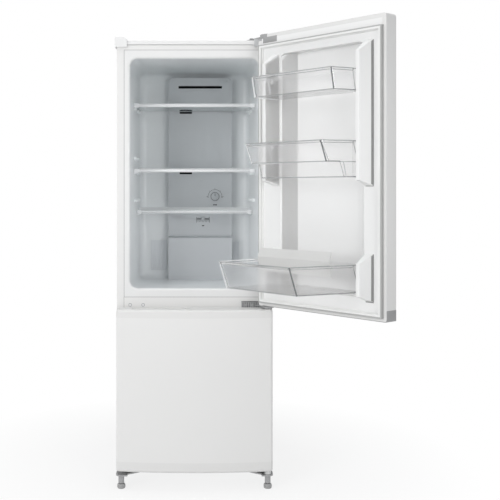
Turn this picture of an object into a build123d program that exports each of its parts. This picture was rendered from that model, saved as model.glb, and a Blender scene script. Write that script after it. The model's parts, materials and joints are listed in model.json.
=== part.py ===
"""A two-door bottom freezer refrigerator, stored as it stands in use: fridge door open, freezer door closed.

Millimetres, +Z up, +X to the right as seen from the front. The front of the cabinet faces -Y.
The origin is on the floor, in the middle of the cabinet's width and depth.
Doors and what hangs on them are modelled closed, and the fridge door's pieces are turned open at the end.
"""

import os
from math import cos, radians, sin

from build123d import *

os.makedirs("parts", exist_ok=True)

# ---------------------------------------------------------------- cabinet
cabinet_width = 490
cabinet_depth = 500
case_bottom = 46  # underside of the case above the floor
case_top = 1386
sheet = 1.0  # painted steel
side_flange = 23  # front flange of a side panel, seen beside the doors
rear_flange = 14
top_flange = 16
lid_height = 13
lid_groove = 1  # dark line between the lid and the steel below it
lid_wall = 2.5
lid_overhang = 2
lid_corner = 6
lid_edge = 3
lid_ribs = 3  # they stand on the case's top
lid_rib = 6
lid_rib_margin = 50  # from the ribs' ends to the front and back

cabinet_front = -cabinet_depth / 2
cabinet_back = cabinet_depth / 2
case_half = cabinet_width / 2
lid_top = case_top + lid_groove + lid_height

# ---------------------------------------------------------------- compartments
liner_wall = 1.5
fridge_floor = 610
roof_insulation = 43  # from the case's top to the fridge's ceiling
fridge_depth = 398
fridge_side = 42  # from the case's side to the inside just behind the opening
fridge_side_draft = 7  # how far a side wall draws in by the back
fridge_round = 24
mouth_depth = 24  # from the front to where the side walls start to draw in
mouth_lip = 8  # rounding of the liner's edge round the opening
sill_height = 8  # of the step that keeps spilt water in, above the floor
sill_depth = 18
mullion_rail_bottom = 540
mullion_rail_top = 591
freezer_floor = 104
freezer_ceiling = 528
freezer_depth = 398
freezer_side = 39  # from the case's side to the inside
freezer_round = 18
freezer_side_round = 10
bottom_rail_top = 92

machine_room_height = 204  # the niche for the compressor, above the case's underside
machine_room_depth = 198
insulation = 12  # least foam between the niche and the freezer
fit_gap = 0.3  # between pieces that are fitted side by side
loose_gap = 2.0  # round pieces that lift or pull out

fridge_ceiling = case_top - roof_insulation
fridge_front_half = case_half - fridge_side
fridge_back_half = fridge_front_half - fridge_side_draft
fridge_back = cabinet_front + fridge_depth
sill_z = fridge_floor + sill_height
freezer_half = case_half - freezer_side
flange_inner = case_half - side_flange
niche_top = case_bottom + machine_room_height
niche_front = cabinet_back - machine_room_depth
freezer_step = niche_top + sheet + insulation
freezer_low_back = niche_front - sheet - insulation

# ---------------------------------------------------------------- doors
door_side = 3  # from the case's side to a door's side
door_above_lid = 8
door_edge = 48  # thickness at the side faces
door_bow = 18  # how far the front bulges beyond its edges
door_corner = 9
gasket_height = 12
gasket_gap = 0.5  # left between a closed gasket and the case
gasket_width = 17
gasket_inset = 5
gasket_end_inset = 9  # above and below, where the gaskets pass the hinges
gasket_corner = 8
door_gap = 11  # between the two doors
freezer_door_bottom = 58
freezer_door_height = 502
top_cap_height = 26
bottom_cap_height = 32
cap_round = 8
grip_x = -110  # hand grip in the edge of a door, towards its free side
grip_length = 170
grip_depth = 22
grip_height = 18
grip_wall = 4
door_liner_wall = 2
liner_edge = 12  # door liner's distance from the door's outline
field_depth = 6  # depth of the liner's turned-down rim
skin_return = 14

door_width = cabinet_width - 2 * door_side
door_half = door_width / 2
door_inner = cabinet_front - gasket_height
door_front = door_inner - door_edge
freezer_door_top = freezer_door_bottom + freezer_door_height
fridge_door_bottom = freezer_door_top + door_gap
fridge_door_top = lid_top + door_above_lid
open_angle = 131  # the fridge door as stored

# ---------------------------------------------------------------- door inside
recess_depth = 28
recess_round = 50
recess_corner = 25
dyke_height = 52
dyke_tip = 12
free_dyke = 50  # from the door's free edge to the outer side of the dyke's tip
hinge_dyke = 68  # from the door's hinge edge to the outer side of the other dyke's tip
dyke_outer_draft = 6
dyke_inner_draft = 8
upper_dyke_drop = 123  # from the middle bin's rim to the upper ribs' lower end
upper_dyke_top = 66  # below the door's top
upper_dyke_slopes = (16, 34)  # how far the ribs' tips draw in, below and above
lower_dyke_rise = 52  # above the door's bottom
lower_dyke_height = 130
lower_dyke_slopes = (17, 25)
recess_bottom_margin = 61  # from the door's ends to its recess
recess_top_margin = 68
freezer_plug = 10  # how far the freezer door's liner stands into its opening

# ---------------------------------------------------------------- door bins
bin_wall = 2
bin_gap = 2
bin_lip = 3
lug_width = 10
lug_height = 10
lug_place = 26  # height above the door liner of the middle of a lug
top_bin_drop = 148  # from the door's top to the top bin's rim
top_bin_height = 59
top_bin_front = 120
top_bin_lean = 12  # how far a bin's front draws in from its rim to its floor
top_bin_free_corner = 92
middle_bin_drop = 197  # from the top bin's rim to the middle one's
middle_bin_height = 57
middle_bin_well_height = 99
middle_bin_well_front = 90
middle_bin_front = 145
middle_bin_lean = 24
middle_bin_free_corner = 107
pocket_rise = 76  # from the door's bottom to the bottle pocket's floor
pocket_height = 77
pocket_front = 240
pocket_lean = 30
pocket_free_corner = 133
pocket_hinge_corner = 404
bin_hinge_corner = 392
bin_round = 8
bin_bead = 1.5  # how far the rim's bead stands out
bin_bead_height = 6
divider_place = 110
divider_rise = 45  # of the divider's lower edge above the pocket's floor
divider_fold_rise = 42  # above that edge
divider_tip_rise = 25  # above the fold
divider_sheet = 2.5
divider_lean = 8
divider_end_gap = 14
divider_hook = 10
divider_hook_root = 1

top_bin_rim = fridge_door_top - top_bin_drop
top_bin_floor = top_bin_rim - top_bin_height
middle_bin_rim = top_bin_rim - middle_bin_drop
middle_bin_floor = middle_bin_rim - middle_bin_height
middle_bin_well = middle_bin_rim - middle_bin_well_height
pocket_floor = fridge_door_bottom + pocket_rise
pocket_rim = pocket_floor + pocket_height
divider_bottom = pocket_floor + divider_rise
divider_fold = divider_bottom + divider_fold_rise
divider_top = divider_fold + divider_tip_rise
upper_dyke = (middle_bin_rim - upper_dyke_drop, fridge_door_top - upper_dyke_top)
upper_dyke_tip = (upper_dyke[0] + upper_dyke_slopes[0], upper_dyke[1] - upper_dyke_slopes[1])
lower_dyke = (
    fridge_door_bottom + lower_dyke_rise,
    fridge_door_bottom + lower_dyke_rise + lower_dyke_height,
)
lower_dyke_tip = (lower_dyke[0] + lower_dyke_slopes[0], lower_dyke[1] - lower_dyke_slopes[1])
recess_bottom = fridge_door_bottom + recess_bottom_margin
recess_top = fridge_door_top - recess_top_margin

# ---------------------------------------------------------------- hinges and feet
hinge_inset = 14  # from a door's edge to the hinges' axis
hinge_forward = 38  # from the case's front to the hinges' axis
pin_radius = 4
pin_clearance = 0.05
bush_radius = 8
bush_flange_radius = 10
pin_reach = 16  # length of a pin inside its bush
bush_floor = 2
hinge_plate = 4
hinge_notch = 34
hinge_notch_depth = 18
hinge_tip_radius = 20
hinge_cover_height = 7
hinge_skirt = 24  # outer radius of the top cover's skirt round the hinge
hinge_skirt_gap = 1
hinge_tab = (40, 15)  # from the hinges' axis to the ends of the top hinge's front tab
hinge_tab_sheet = 2
hinge_tab_drop = 20
hinge_cover_wall = 2
hinge_cover_edge = 2
middle_flange_width = 96
middle_flange_height = 22
middle_flange_sheet = 3
screw_places = (12, 34)  # from the free end of the middle hinge's flange
bracket_width = 92
bracket_run = 60
foot_forward = 34  # from the case's front to the middle of a front foot
foot_pad_radius = 12
foot_pad_height = 15
foot_pad_round = 3
foot_gap = 3
foot_stud_radius = 4
foot_thread_clearance = 0.05
foot_boss_radius = 9
rear_foot_radius = 16
rear_foot_top_radius = 13
rear_foot_side = 45  # from the case's side to the middle of a rear foot
rear_foot_back = 38  # from the case's back

hinge_x = door_half - hinge_inset
hinge_y = cabinet_front - hinge_forward
foot_y = cabinet_front - foot_forward
rear_foot_x = case_half - rear_foot_side
rear_foot_y = cabinet_back - rear_foot_back

# ---------------------------------------------------------------- shelves
shelf_glass = 4
shelf_gap = 2  # between a shelf's end and the side wall
shelf_trim_height = 11
shelf_trim_depth = 13
shelf_trim_wall = 2
shelf_trim_edge = 2
shelf_rear_height = 14
shelf_rear_depth = 6
shelf_back_room = 50  # from a shelf to the fridge's back wall
deep_shelf_depth = 223
low_shelf_depth = 100
top_shelf_drop = 136  # from the ceiling to the underside of the top shelf's glass
middle_shelf_drop = 215  # from shelf to shelf
low_shelf_drop = 139
spare_row_rises = (48, 47)  # of supports that hold no shelf, above the middle and low shelves'
boss_radius = 6
boss_reach = 7
boss_rear_room = 64  # from the fridge's back wall
boss_pitches = (54, 110)  # from the rear supports to the middle ones, then to the front ones

shelf_back = fridge_back - shelf_back_room
deep_shelf_front = shelf_back - deep_shelf_depth
low_shelf_front = shelf_back - low_shelf_depth
top_shelf_z = fridge_ceiling - top_shelf_drop
middle_shelf_z = top_shelf_z - middle_shelf_drop
low_shelf_z = middle_shelf_z - low_shelf_drop
shelf_heights = {"top": top_shelf_z, "middle": middle_shelf_z, "low": low_shelf_z}
spare_rows = (middle_shelf_z + spare_row_rises[0], low_shelf_z + spare_row_rises[1])
boss_rear = fridge_back - boss_rear_room
boss_middle = boss_rear - boss_pitches[0]
boss_front = boss_middle - boss_pitches[1]

# ---------------------------------------------------------------- air duct cover and controls
duct_left = -92
duct_right = 133
duct_top_gap = 16  # below the ceiling
duct_thick = 38
duct_wall = 2.5
duct_round = 14
duct_foot_drop = 88  # from the low shelf to the foot's top
duct_foot_extra = 20
duct_slot_height = 9
long_slot = (-57, 98)
long_slot_drop = 33  # below the cover's top
short_slot = (-53, -9)
short_slot_drop = 4  # below the two upper shelves
short_slot_height = 7
duct_toe = 2
duct_toe_height = 11
duct_clearance = 0.2  # between the cover and the liner
dial_x = 73
dial_rise = 52  # above the low shelf
dial_radius = 13
dial_height = 12
dial_grip = 5
dial_grip_height = 7
dial_edge = 1.5
dial_shaft_radius = 3
dial_shaft_reach = 9
slider_x = 30
slider_drop = 28  # below the low shelf
slider_width = 12
slider_height = 9
slider_reach = 7
slider_slot = 44
slider_slot_height = 4
slider_neck = 8
slider_edge = 1.2

duct_top = fridge_ceiling - duct_top_gap
duct_foot_top = low_shelf_z - duct_foot_drop
dial_z = low_shelf_z + dial_rise
slider_z = low_shelf_z - slider_drop

# ---------------------------------------------------------------- freezer fittings
drawer_wall = 2
drawer_front_wall = 4
drawer_side_room = 16  # from a drawer to the freezer's side
drawer_lip = 9
drawer_corner = 6
drawer_front_room = 14  # from the case's front to a drawer's box
drawer_grip_depth = 10
ledge_reach = 9
ledge_height = 8
drawer_rims = {"top": 516, "middle": 388, "bottom": 246}
drawer_floors = {"top": 402, "middle": 268, "bottom": 104.3}
cover_back_room = 62  # from the freezer's back wall to the cover's face
cover_wall = 2.5
cover_corner = 11
cover_gap = 0.6  # between the cover's edges and the liner
cover_slot_rise = 24  # of the slots' middle above the step
cover_slot_pitch = 18
cover_slot_count = 17
cover_slot_length = 24
cover_slot_width = 6
fan_z = 448
fan_radius = 42
fan_opening = 45
fan_hub_radius = 13
fan_blades = 5
fan_thick = 9
fan_gap = 1  # between the cover and the fan's blades
fan_blade_sheet = 1.6
fan_blade_width = 19.5
fan_blade_root = 3  # sunk into the hub
fan_blade_turn = 22  # degrees
fan_bore_depth = 7
motor_gap = 2
motor_radius = 22
motor_length = 22
motor_shaft_radius = 2
motor_strap = 12
motor_strap_sheet = 3
motor_post_radius = 4
evaporator_width = 340
evaporator_bottom = 284
evaporator_rows = 4
evaporator_columns = 2
evaporator_pitch = 24
evaporator_tube_radius = 4
evaporator_tube_past = 4  # beyond the last fins
fin_count = 28
fin_sheet = 1.0
fin_margin = 11
heater_radius = 4
heater_width = 320
heater_leg = 4

# ---------------------------------------------------------------- machine room
tray_sheet = 2
tray_lip = 12
compressor_x = -70
compressor_back = 98  # from the case's back to the compressor's middle
compressor_radius = 68
compressor_body = 92
compressor_dome = 30
compressor_foot_span = 130
compressor_foot_depth = 98
compressor_foot_sheet = 3
grommet_height = 12
grommet_radius = 10
relay_width = 26
water_tray_half = 62
water_tray_height = 16
water_tray_wall = 1.5
water_tray_corner = 12

drawer_half = freezer_half - drawer_side_room
drawer_front = cabinet_front + drawer_front_room
freezer_back = cabinet_front + freezer_depth
cover_front = freezer_back - cover_back_room
compressor_y = cabinet_back - compressor_back

# ---------------------------------------------------------------- small trim
spare_cap_width = 38
spare_cap_height = 32
spare_cap_stand = 11  # above the lid
spare_cap_corner = 3
spare_cap_slope = 8
spare_cap_side = 4
spare_cap_front = 6
spare_cap_run = 44
plug_radius = 4
plug_head = 1.2
plug_places = (42, 83)  # from the case's left side
plug_drop = 25  # below the rail's top
screw_radius = 4.5
screw_head = 3

plug_z = mullion_rail_top - plug_drop


def write(shape, label):
    """Name one finished piece and write it as its own file."""
    shape.label = label
    export_step(shape, f"parts/{label}.step")


def on_door(u, d):
    """A point in plan: u from the door's free edge, d above the plane that carries the gasket."""
    return (u - door_half, door_inner + d)


def fridge_half_at(y):
    """Half the width inside the fridge at depth y."""
    share = (y - cabinet_front - mouth_depth) / (fridge_depth - mouth_depth)
    return fridge_front_half + max(share, 0) * (fridge_back_half - fridge_front_half)


# ================================================================ steel case
with BuildPart() as side_panel_right:
    with BuildSketch(Plane.XY.offset(case_bottom)):
        with Locations((case_half, cabinet_front)):
            Rectangle(sheet, cabinet_depth, align=(Align.MAX, Align.MIN))
            Rectangle(side_flange, sheet, align=(Align.MAX, Align.MIN))
        with Locations((case_half, cabinet_back)):
            Rectangle(rear_flange, sheet, align=(Align.MAX, Align.MAX))
    extrude(amount=case_top - case_bottom)
write(side_panel_right.part, "side_panel_right")

with BuildPart() as side_panel_left:
    add(side_panel_right.part.mirror(Plane.YZ))
write(side_panel_left.part, "side_panel_left")

inner_width = cabinet_width - 2 * sheet
with BuildPart() as top_panel:
    with Locations((0, cabinet_front + sheet, case_top)):
        Box(inner_width, cabinet_depth - 2 * sheet, sheet, align=(Align.CENTER, Align.MIN, Align.MAX))
    with Locations((0, cabinet_front, case_top)):
        Box(2 * flange_inner, sheet, top_flange, align=(Align.CENTER, Align.MIN, Align.MAX))
write(top_panel.part, "top_panel")

with BuildPart() as back_panel:
    with Locations((0, cabinet_back, niche_top)):
        Box(
            cabinet_width - 2 * rear_flange,
            sheet,
            case_top - sheet - niche_top,
            align=(Align.CENTER, Align.MAX, Align.MIN),
        )
write(back_panel.part, "back_panel")

with BuildPart() as base_panel:
    with BuildSketch(Plane.YZ):
        with Locations((cabinet_front + sheet, case_bottom)):
            Rectangle(niche_front - cabinet_front - sheet, sheet, align=(Align.MIN, Align.MIN))
        with Locations((niche_front, case_bottom)):
            Rectangle(sheet, machine_room_height + sheet, align=(Align.MAX, Align.MIN))
        with Locations((niche_front, niche_top)):
            Rectangle(machine_room_depth - sheet, sheet, align=(Align.MIN, Align.MIN))
    extrude(amount=inner_width / 2, both=True)
write(base_panel.part, "base_panel")

with BuildPart() as front_rails:
    with Locations((0, cabinet_front, mullion_rail_bottom)):
        Box(
            2 * flange_inner,
            sheet,
            mullion_rail_top - mullion_rail_bottom,
            align=(Align.CENTER, Align.MIN, Align.MIN),
        )
    with Locations(*[(place - case_half, cabinet_front, plug_z) for place in plug_places]):
        Cylinder(plug_radius / 2, 4 * sheet, rotation=(90, 0, 0), mode=Mode.SUBTRACT)
    with Locations((0, cabinet_front, case_bottom)):
        Box(
            2 * flange_inner,
            sheet,
            bottom_rail_top - case_bottom,
            align=(Align.CENTER, Align.MIN, Align.MIN),
        )
write(front_rails.part, "front_rails")

with BuildPart() as hole_plugs:
    for place in plug_places:
        with BuildSketch(Plane.XZ.offset(-cabinet_front)):
            with Locations((place - case_half, plug_z)):
                Circle(plug_radius)
        extrude(amount=plug_head)
        with BuildSketch(Plane.XZ.offset(-cabinet_front)):
            with Locations((place - case_half, plug_z)):
                Circle(plug_radius / 2 - pin_clearance)
        extrude(amount=-sheet)
write(hole_plugs.part, "hole_plugs")

with BuildPart() as cabinet_lid:
    with Locations((0, 0, lid_top)):
        Box(
            cabinet_width + 2 * lid_overhang,
            cabinet_depth + 2 * lid_overhang,
            lid_height,
            align=(Align.CENTER, Align.CENTER, Align.MAX),
        )
    fillet(cabinet_lid.edges().filter_by(Axis.Z), lid_corner)
    fillet(cabinet_lid.faces().sort_by(Axis.Z)[-1].edges(), lid_edge)
    with Locations((0, 0, lid_top - lid_wall)):
        Box(
            cabinet_width + 2 * lid_overhang - 2 * lid_wall,
            cabinet_depth + 2 * lid_overhang - 2 * lid_wall,
            lid_height,
            align=(Align.CENTER, Align.CENTER, Align.MAX),
            mode=Mode.SUBTRACT,
        )
    with Locations((0, 0, case_top)):
        with GridLocations(cabinet_width / lid_ribs, 0, lid_ribs, 1):
            Box(
                lid_rib,
                cabinet_depth - 2 * lid_rib_margin,
                lid_top - lid_wall - case_top,
                align=(Align.CENTER, Align.CENTER, Align.MIN),
            )
write(cabinet_lid.part, "cabinet_lid")

with BuildPart() as spare_hinge_cap:
    with Locations((-case_half - lid_overhang - spare_cap_side, cabinet_front - spare_cap_front, lid_top)):
        Box(spare_cap_width, spare_cap_run, spare_cap_stand, align=(Align.MIN, Align.MIN, Align.MIN))
        Box(
            spare_cap_width,
            spare_cap_front - lid_overhang - fit_gap,
            spare_cap_height - spare_cap_stand,
            align=(Align.MIN, Align.MIN, Align.MAX),
        )
        Box(
            spare_cap_side - fit_gap,
            spare_cap_run,
            spare_cap_height - spare_cap_stand,
            align=(Align.MIN, Align.MIN, Align.MAX),
        )
    top_right = spare_hinge_cap.faces().sort_by(Axis.Z)[-1].edges().sort_by(Axis.X)[-1]
    chamfer(top_right, spare_cap_slope)
    fillet(spare_hinge_cap.edges().filter_by(Axis.Z).sort_by(Axis.X)[:2], spare_cap_corner)
    fillet(spare_hinge_cap.faces().sort_by(Axis.Z)[-1].edges(), spare_cap_corner / 2)
write(spare_hinge_cap.part, "spare_hinge_cap")


# ================================================================ liners and insulation
def mouth_prism(grow, depth):
    """A prism as wide and high as the fridge's opening above its sill, grown, from the front inwards."""
    with BuildPart() as prism:
        with BuildSketch(Plane.XZ.offset(-cabinet_front)):
            with Locations((0, (sill_z + fridge_ceiling) / 2)):
                RectangleRounded(
                    2 * fridge_front_half + 2 * grow,
                    fridge_ceiling - sill_z + 2 * grow,
                    fridge_round + grow,
                )
        extrude(amount=-depth)
    return prism.part


def fridge_space(grow):
    """The space inside the fridge liner, grown on every side but the front."""
    back = fridge_back + grow
    with BuildPart() as space:
        with BuildSketch(Plane.XY.offset(fridge_floor - grow)):
            with BuildLine():
                Polyline(
                    (-fridge_front_half - grow, cabinet_front),
                    (fridge_front_half + grow, cabinet_front),
                    (fridge_front_half + grow, cabinet_front + mouth_depth),
                    (fridge_back_half + grow, back),
                    (-fridge_back_half - grow, back),
                    (-fridge_front_half - grow, cabinet_front + mouth_depth),
                    close=True,
                )
            make_face()
        extrude(amount=fridge_ceiling - fridge_floor + 2 * grow)
        back_edges = space.faces().sort_by(Axis.Y)[-1].edges()
        fillet(back_edges.filter_by(Axis.Z), fridge_round + grow)
        rims = space.faces().filter_by(Axis.Z).edges()
        fillet([edge for edge in rims if edge.center().Y > cabinet_front + fit_gap], fridge_round + grow)
        with BuildPart(mode=Mode.PRIVATE) as sill:
            with Locations((0, cabinet_front, fridge_floor - grow)):
                Box(
                    2 * fridge_front_half + 2 * grow,
                    sill_depth - grow,
                    2 * fridge_round,
                    align=(Align.CENTER, Align.MIN, Align.MIN),
                )
            add(mouth_prism(grow, sill_depth), mode=Mode.SUBTRACT)
        add(sill.part, mode=Mode.SUBTRACT)
    return space.part


def mouth_ring():
    """The solid bead behind the rounded edge of the fridge's opening."""
    reach = mouth_lip + liner_wall
    return mouth_prism(reach, reach)


def freezer_space(grow):
    """The space inside the freezer liner, with the step over the compressor's niche."""
    back = freezer_back + grow
    low_back = freezer_low_back + grow
    with BuildPart() as space:
        with BuildSketch(Plane.YZ) as profile:
            with BuildLine():
                Polyline(
                    (cabinet_front, freezer_floor - grow),
                    (low_back, freezer_floor - grow),
                    (low_back, freezer_step - grow),
                    (back, freezer_step - grow),
                    (back, freezer_ceiling + grow),
                    (cabinet_front, freezer_ceiling + grow),
                    close=True,
                )
            make_face()
            corners = profile.vertices().sort_by(Axis.X)[2:]
            fillet(corners, freezer_round)
        extrude(amount=freezer_half + grow, both=True)
        front_edges = space.faces().sort_by(Axis.Y)[0].edges()
        sides = space.faces().filter_by(Axis.X)
        fillet([edge for edge in sides.edges() if edge not in front_edges], freezer_side_round)
    return space.part


def shelf_boss(y, z, side):
    """A rounded support that stands out of the side wall under a shelf."""
    inner = fridge_half_at(y) - boss_reach
    outer = fridge_half_at(y) + liner_wall / 2
    with BuildPart() as boss:
        with BuildSketch(Plane.YZ.offset(side * inner)):
            with Locations((y, z - boss_radius)):
                SlotOverall(3 * boss_radius, 2 * boss_radius)
        extrude(amount=side * (outer - inner))
    return boss.part


with BuildPart() as fridge_liner:
    add(fridge_space(liner_wall))
    with Locations((0, cabinet_front, (mullion_rail_top + case_top - top_flange) / 2)):
        Box(
            2 * flange_inner,
            sheet,
            case_top - top_flange - mullion_rail_top,
            align=(Align.CENTER, Align.MIN, Align.CENTER),
        )
    add(mouth_ring())
    add(fridge_space(0), mode=Mode.SUBTRACT)
    mouth = fridge_liner.faces().sort_by(Axis.Y)[0].inner_wires()[0]
    fillet(mouth.edges(), mouth_lip)
    for z in (*shelf_heights.values(), *spare_rows):
        for y in (boss_front, boss_middle, boss_rear):
            if not (z == shelf_heights["low"] and y == boss_front):
                add(shelf_boss(y, z, 1))
                add(shelf_boss(y, z, -1))
write(fridge_liner.part, "fridge_liner")

with BuildPart() as freezer_liner:
    add(freezer_space(liner_wall))
    with Locations((0, cabinet_front, (bottom_rail_top + mullion_rail_bottom) / 2)):
        Box(
            2 * flange_inner,
            sheet,
            mullion_rail_bottom - bottom_rail_top,
            align=(Align.CENTER, Align.MIN, Align.CENTER),
        )
    add(freezer_space(0), mode=Mode.SUBTRACT)
    for name in ("top", "middle"):
        with Locations((0, drawer_front + drawer_front_wall, drawer_rims[name] - bin_lip)):
            for side in (-1, 1):
                with Locations((side * (freezer_half - ledge_reach / 2), 0, 0)):
                    Box(
                        ledge_reach,
                        cover_front - drawer_front - 2 * drawer_front_wall,
                        ledge_height,
                        align=(Align.CENTER, Align.MIN, Align.MAX),
                    )
write(freezer_liner.part, "freezer_liner")

with BuildPart() as cabinet_foam:
    with Locations((0, cabinet_front + sheet, case_bottom + sheet)):
        Box(
            inner_width,
            cabinet_depth - 2 * sheet,
            case_top - case_bottom - 2 * sheet,
            align=(Align.CENTER, Align.MIN, Align.MIN),
        )
    with Locations((0, cabinet_back, case_bottom)):
        Box(
            inner_width,
            machine_room_depth + sheet,
            machine_room_height + sheet,
            align=(Align.CENTER, Align.MAX, Align.MIN),
            mode=Mode.SUBTRACT,
        )
    add(fridge_space(liner_wall), mode=Mode.SUBTRACT)
    add(mouth_ring(), mode=Mode.SUBTRACT)
    add(freezer_space(liner_wall), mode=Mode.SUBTRACT)
# It is kept as two blocks that meet behind the rail between the doors.
foam_seam = Plane.XY.offset((fridge_floor + freezer_ceiling) / 2)
foam_blocks = [cabinet_foam.part.split(foam_seam, keep=side).solid() for side in (Keep.TOP, Keep.BOTTOM)]
write(Compound(children=foam_blocks), "cabinet_foam")

# ================================================================ air duct cover in the fridge
duct_front = fridge_back - duct_thick
foot_front = duct_front - duct_foot_extra


def duct_form(inset):
    """The cover's outer form: a tall flat box with a deeper foot, drawn in by inset."""
    with BuildPart() as form:
        with BuildSketch(Plane.XZ.offset(-duct_front - inset)):
            with BuildLine():
                top = duct_top - inset
                left = duct_left + inset
                right = duct_right - inset
                Polyline((left, fridge_floor), (left, top), (right, top), (right, fridge_floor), close=True)
            make_face()
        extrude(amount=-(duct_thick - inset))
        fillet(form.edges().filter_by(Axis.Y).sort_by(Axis.Z)[-2:], duct_round)
        with BuildSketch(Plane.YZ.offset(left)):
            with BuildLine():
                Polyline(
                    (foot_front - duct_toe + inset, fridge_floor),
                    (foot_front - duct_toe + inset, fridge_floor + duct_toe_height),
                    (foot_front + inset, fridge_floor + duct_toe_height),
                    (foot_front + inset, duct_foot_top - inset - duct_foot_extra / 3),
                    (duct_front + inset, duct_foot_top - inset),
                    (duct_front + inset + duct_thick / 2, duct_foot_top - inset),
                    (duct_front + inset + duct_thick / 2, fridge_floor),
                    close=True,
                )
            make_face()
        extrude(amount=right - left)
    return form.part


with BuildPart() as air_duct_cover:
    add(duct_form(0))
    add(duct_form(duct_wall), mode=Mode.SUBTRACT)
    with BuildSketch(Plane.XZ.offset(-duct_front)):
        with Locations(((long_slot[0] + long_slot[1]) / 2, duct_top - long_slot_drop)):
            Rectangle(long_slot[1] - long_slot[0], duct_slot_height)
        for level in ("top", "middle"):
            with Locations(((short_slot[0] + short_slot[1]) / 2, shelf_heights[level] - short_slot_drop)):
                Rectangle(short_slot[1] - short_slot[0], short_slot_height)
        with Locations((slider_x, slider_z)):
            SlotOverall(slider_slot, slider_slot_height)
        with Locations((dial_x, dial_z)):
            Circle(dial_shaft_radius + pin_clearance)
    extrude(amount=-2 * duct_wall, mode=Mode.SUBTRACT)
    with BuildPart(mode=Mode.PRIVATE) as liner_room:
        add(fridge_space(-duct_clearance))
    add(liner_room.part, mode=Mode.INTERSECT)
write(air_duct_cover.part, "air_duct_cover")

with BuildPart() as temperature_dial:
    with BuildSketch(Plane.XZ.offset(-duct_front + fit_gap)):
        with Locations((dial_x, dial_z)):
            Circle(dial_radius)
    extrude(amount=dial_height)
    fillet(temperature_dial.faces().sort_by(Axis.Y)[0].edges(), dial_edge)
    with BuildSketch(Plane.XZ.offset(-duct_front + fit_gap + dial_height)):
        with Locations((dial_x, dial_z)):
            for side in (-1, 1):
                with Locations((side * (dial_grip / 2 + dial_radius), 0)):
                    Rectangle(2 * dial_radius, 2 * dial_radius)
    extrude(amount=-dial_grip_height, mode=Mode.SUBTRACT)
    with BuildSketch(Plane.XZ.offset(-duct_front + fit_gap)):
        with Locations((dial_x, dial_z)):
            Circle(dial_shaft_radius)
    extrude(amount=-dial_shaft_reach)
write(temperature_dial.part, "temperature_dial")

with BuildPart() as airflow_slider:
    with Locations((slider_x, duct_front - fit_gap, slider_z)):
        Box(slider_width, slider_reach, slider_height, align=(Align.CENTER, Align.MAX, Align.CENTER))
    fillet(airflow_slider.faces().sort_by(Axis.Y)[0].edges(), slider_edge)
    with Locations((slider_x, duct_front - fit_gap, slider_z)):
        Box(
            slider_neck,
            slider_reach,
            slider_slot_height - 2 * fit_gap,
            align=(Align.CENTER, Align.MIN, Align.CENTER),
        )
write(airflow_slider.part, "airflow_slider")


# ================================================================ glass shelves
def shelf_outline(front, back, end_gap):
    """A shelf's plan, which follows the side walls as they draw in towards the back."""
    front_half = fridge_half_at(front) - shelf_gap - end_gap
    back_half = fridge_half_at(back) - shelf_gap - end_gap
    with BuildSketch() as outline:
        with BuildLine():
            Polyline(
                (-front_half, front), (front_half, front), (back_half, back), (-back_half, back), close=True
            )
        make_face()
    return outline.sketch


for level, height in shelf_heights.items():
    shelf_front = low_shelf_front if level == "low" else deep_shelf_front
    glass_top = height + shelf_glass
    with BuildPart() as glass:
        with BuildSketch(Plane.XY.offset(height)):
            add(shelf_outline(shelf_front + shelf_trim_wall, shelf_back - shelf_trim_wall, 0))
        extrude(amount=shelf_glass)
    write(glass.part, f"shelf_{level}_glass")

    with BuildPart() as trim:
        with BuildSketch(Plane.XY.offset(glass_top + shelf_trim_wall)):
            add(shelf_outline(shelf_front, shelf_front + shelf_trim_depth, 0))
        extrude(amount=-shelf_trim_height)
        fillet(trim.faces().sort_by(Axis.Y)[0].edges().filter_by(Axis.X), shelf_trim_edge)
        with BuildSketch(Plane.XY.offset(height)):
            add(shelf_outline(shelf_back - shelf_rear_depth, shelf_back, 0))
        extrude(amount=shelf_rear_height)
        with BuildSketch(Plane.XY.offset(height)):
            add(shelf_outline(shelf_front + shelf_trim_wall, shelf_back - shelf_trim_wall, -shelf_gap))
        extrude(amount=shelf_glass, mode=Mode.SUBTRACT)
        with BuildSketch(Plane.XY.offset(height)):
            with Locations((0, shelf_front + shelf_trim_wall + shelf_glass)):
                Rectangle(2 * fridge_front_half, shelf_trim_depth, align=(Align.CENTER, Align.MIN))
        extrude(amount=-shelf_trim_height, mode=Mode.SUBTRACT)
    write(trim.part, f"shelf_{level}_trim")


# ================================================================ doors
def door_outline(inset):
    """A door in plan: flat inside, square side faces and a bowed front with rounded corners."""
    half = door_half - inset
    with BuildSketch() as outline:
        with BuildLine():
            sides = Polyline(
                (-half, door_front + inset),
                (-half, door_inner),
                (half, door_inner),
                (half, door_front + inset),
            )
            ThreePointArc(sides @ 1, (0, door_front - door_bow + inset), sides @ 0)
        make_face()
        fillet(outline.vertices().sort_by(Axis.Y)[:2], door_corner - inset)
    return outline.sketch


def door_skin(bottom, top):
    """The painted sheet: bowed front, both side faces and a narrow return on the inside."""
    with BuildPart() as skin:
        with BuildSketch(Plane.XY.offset(bottom)):
            add(door_outline(0))
            with BuildSketch(mode=Mode.PRIVATE) as inside:
                add(door_outline(sheet))
                with Locations((0, door_inner)):
                    Rectangle(door_width, sheet, align=(Align.CENTER, Align.MAX), mode=Mode.SUBTRACT)
                    Rectangle(door_width - 2 * skin_return, sheet, align=(Align.CENTER, Align.MAX))
            add(inside.sketch, mode=Mode.SUBTRACT)
        extrude(amount=top - bottom)
    return skin.part


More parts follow.
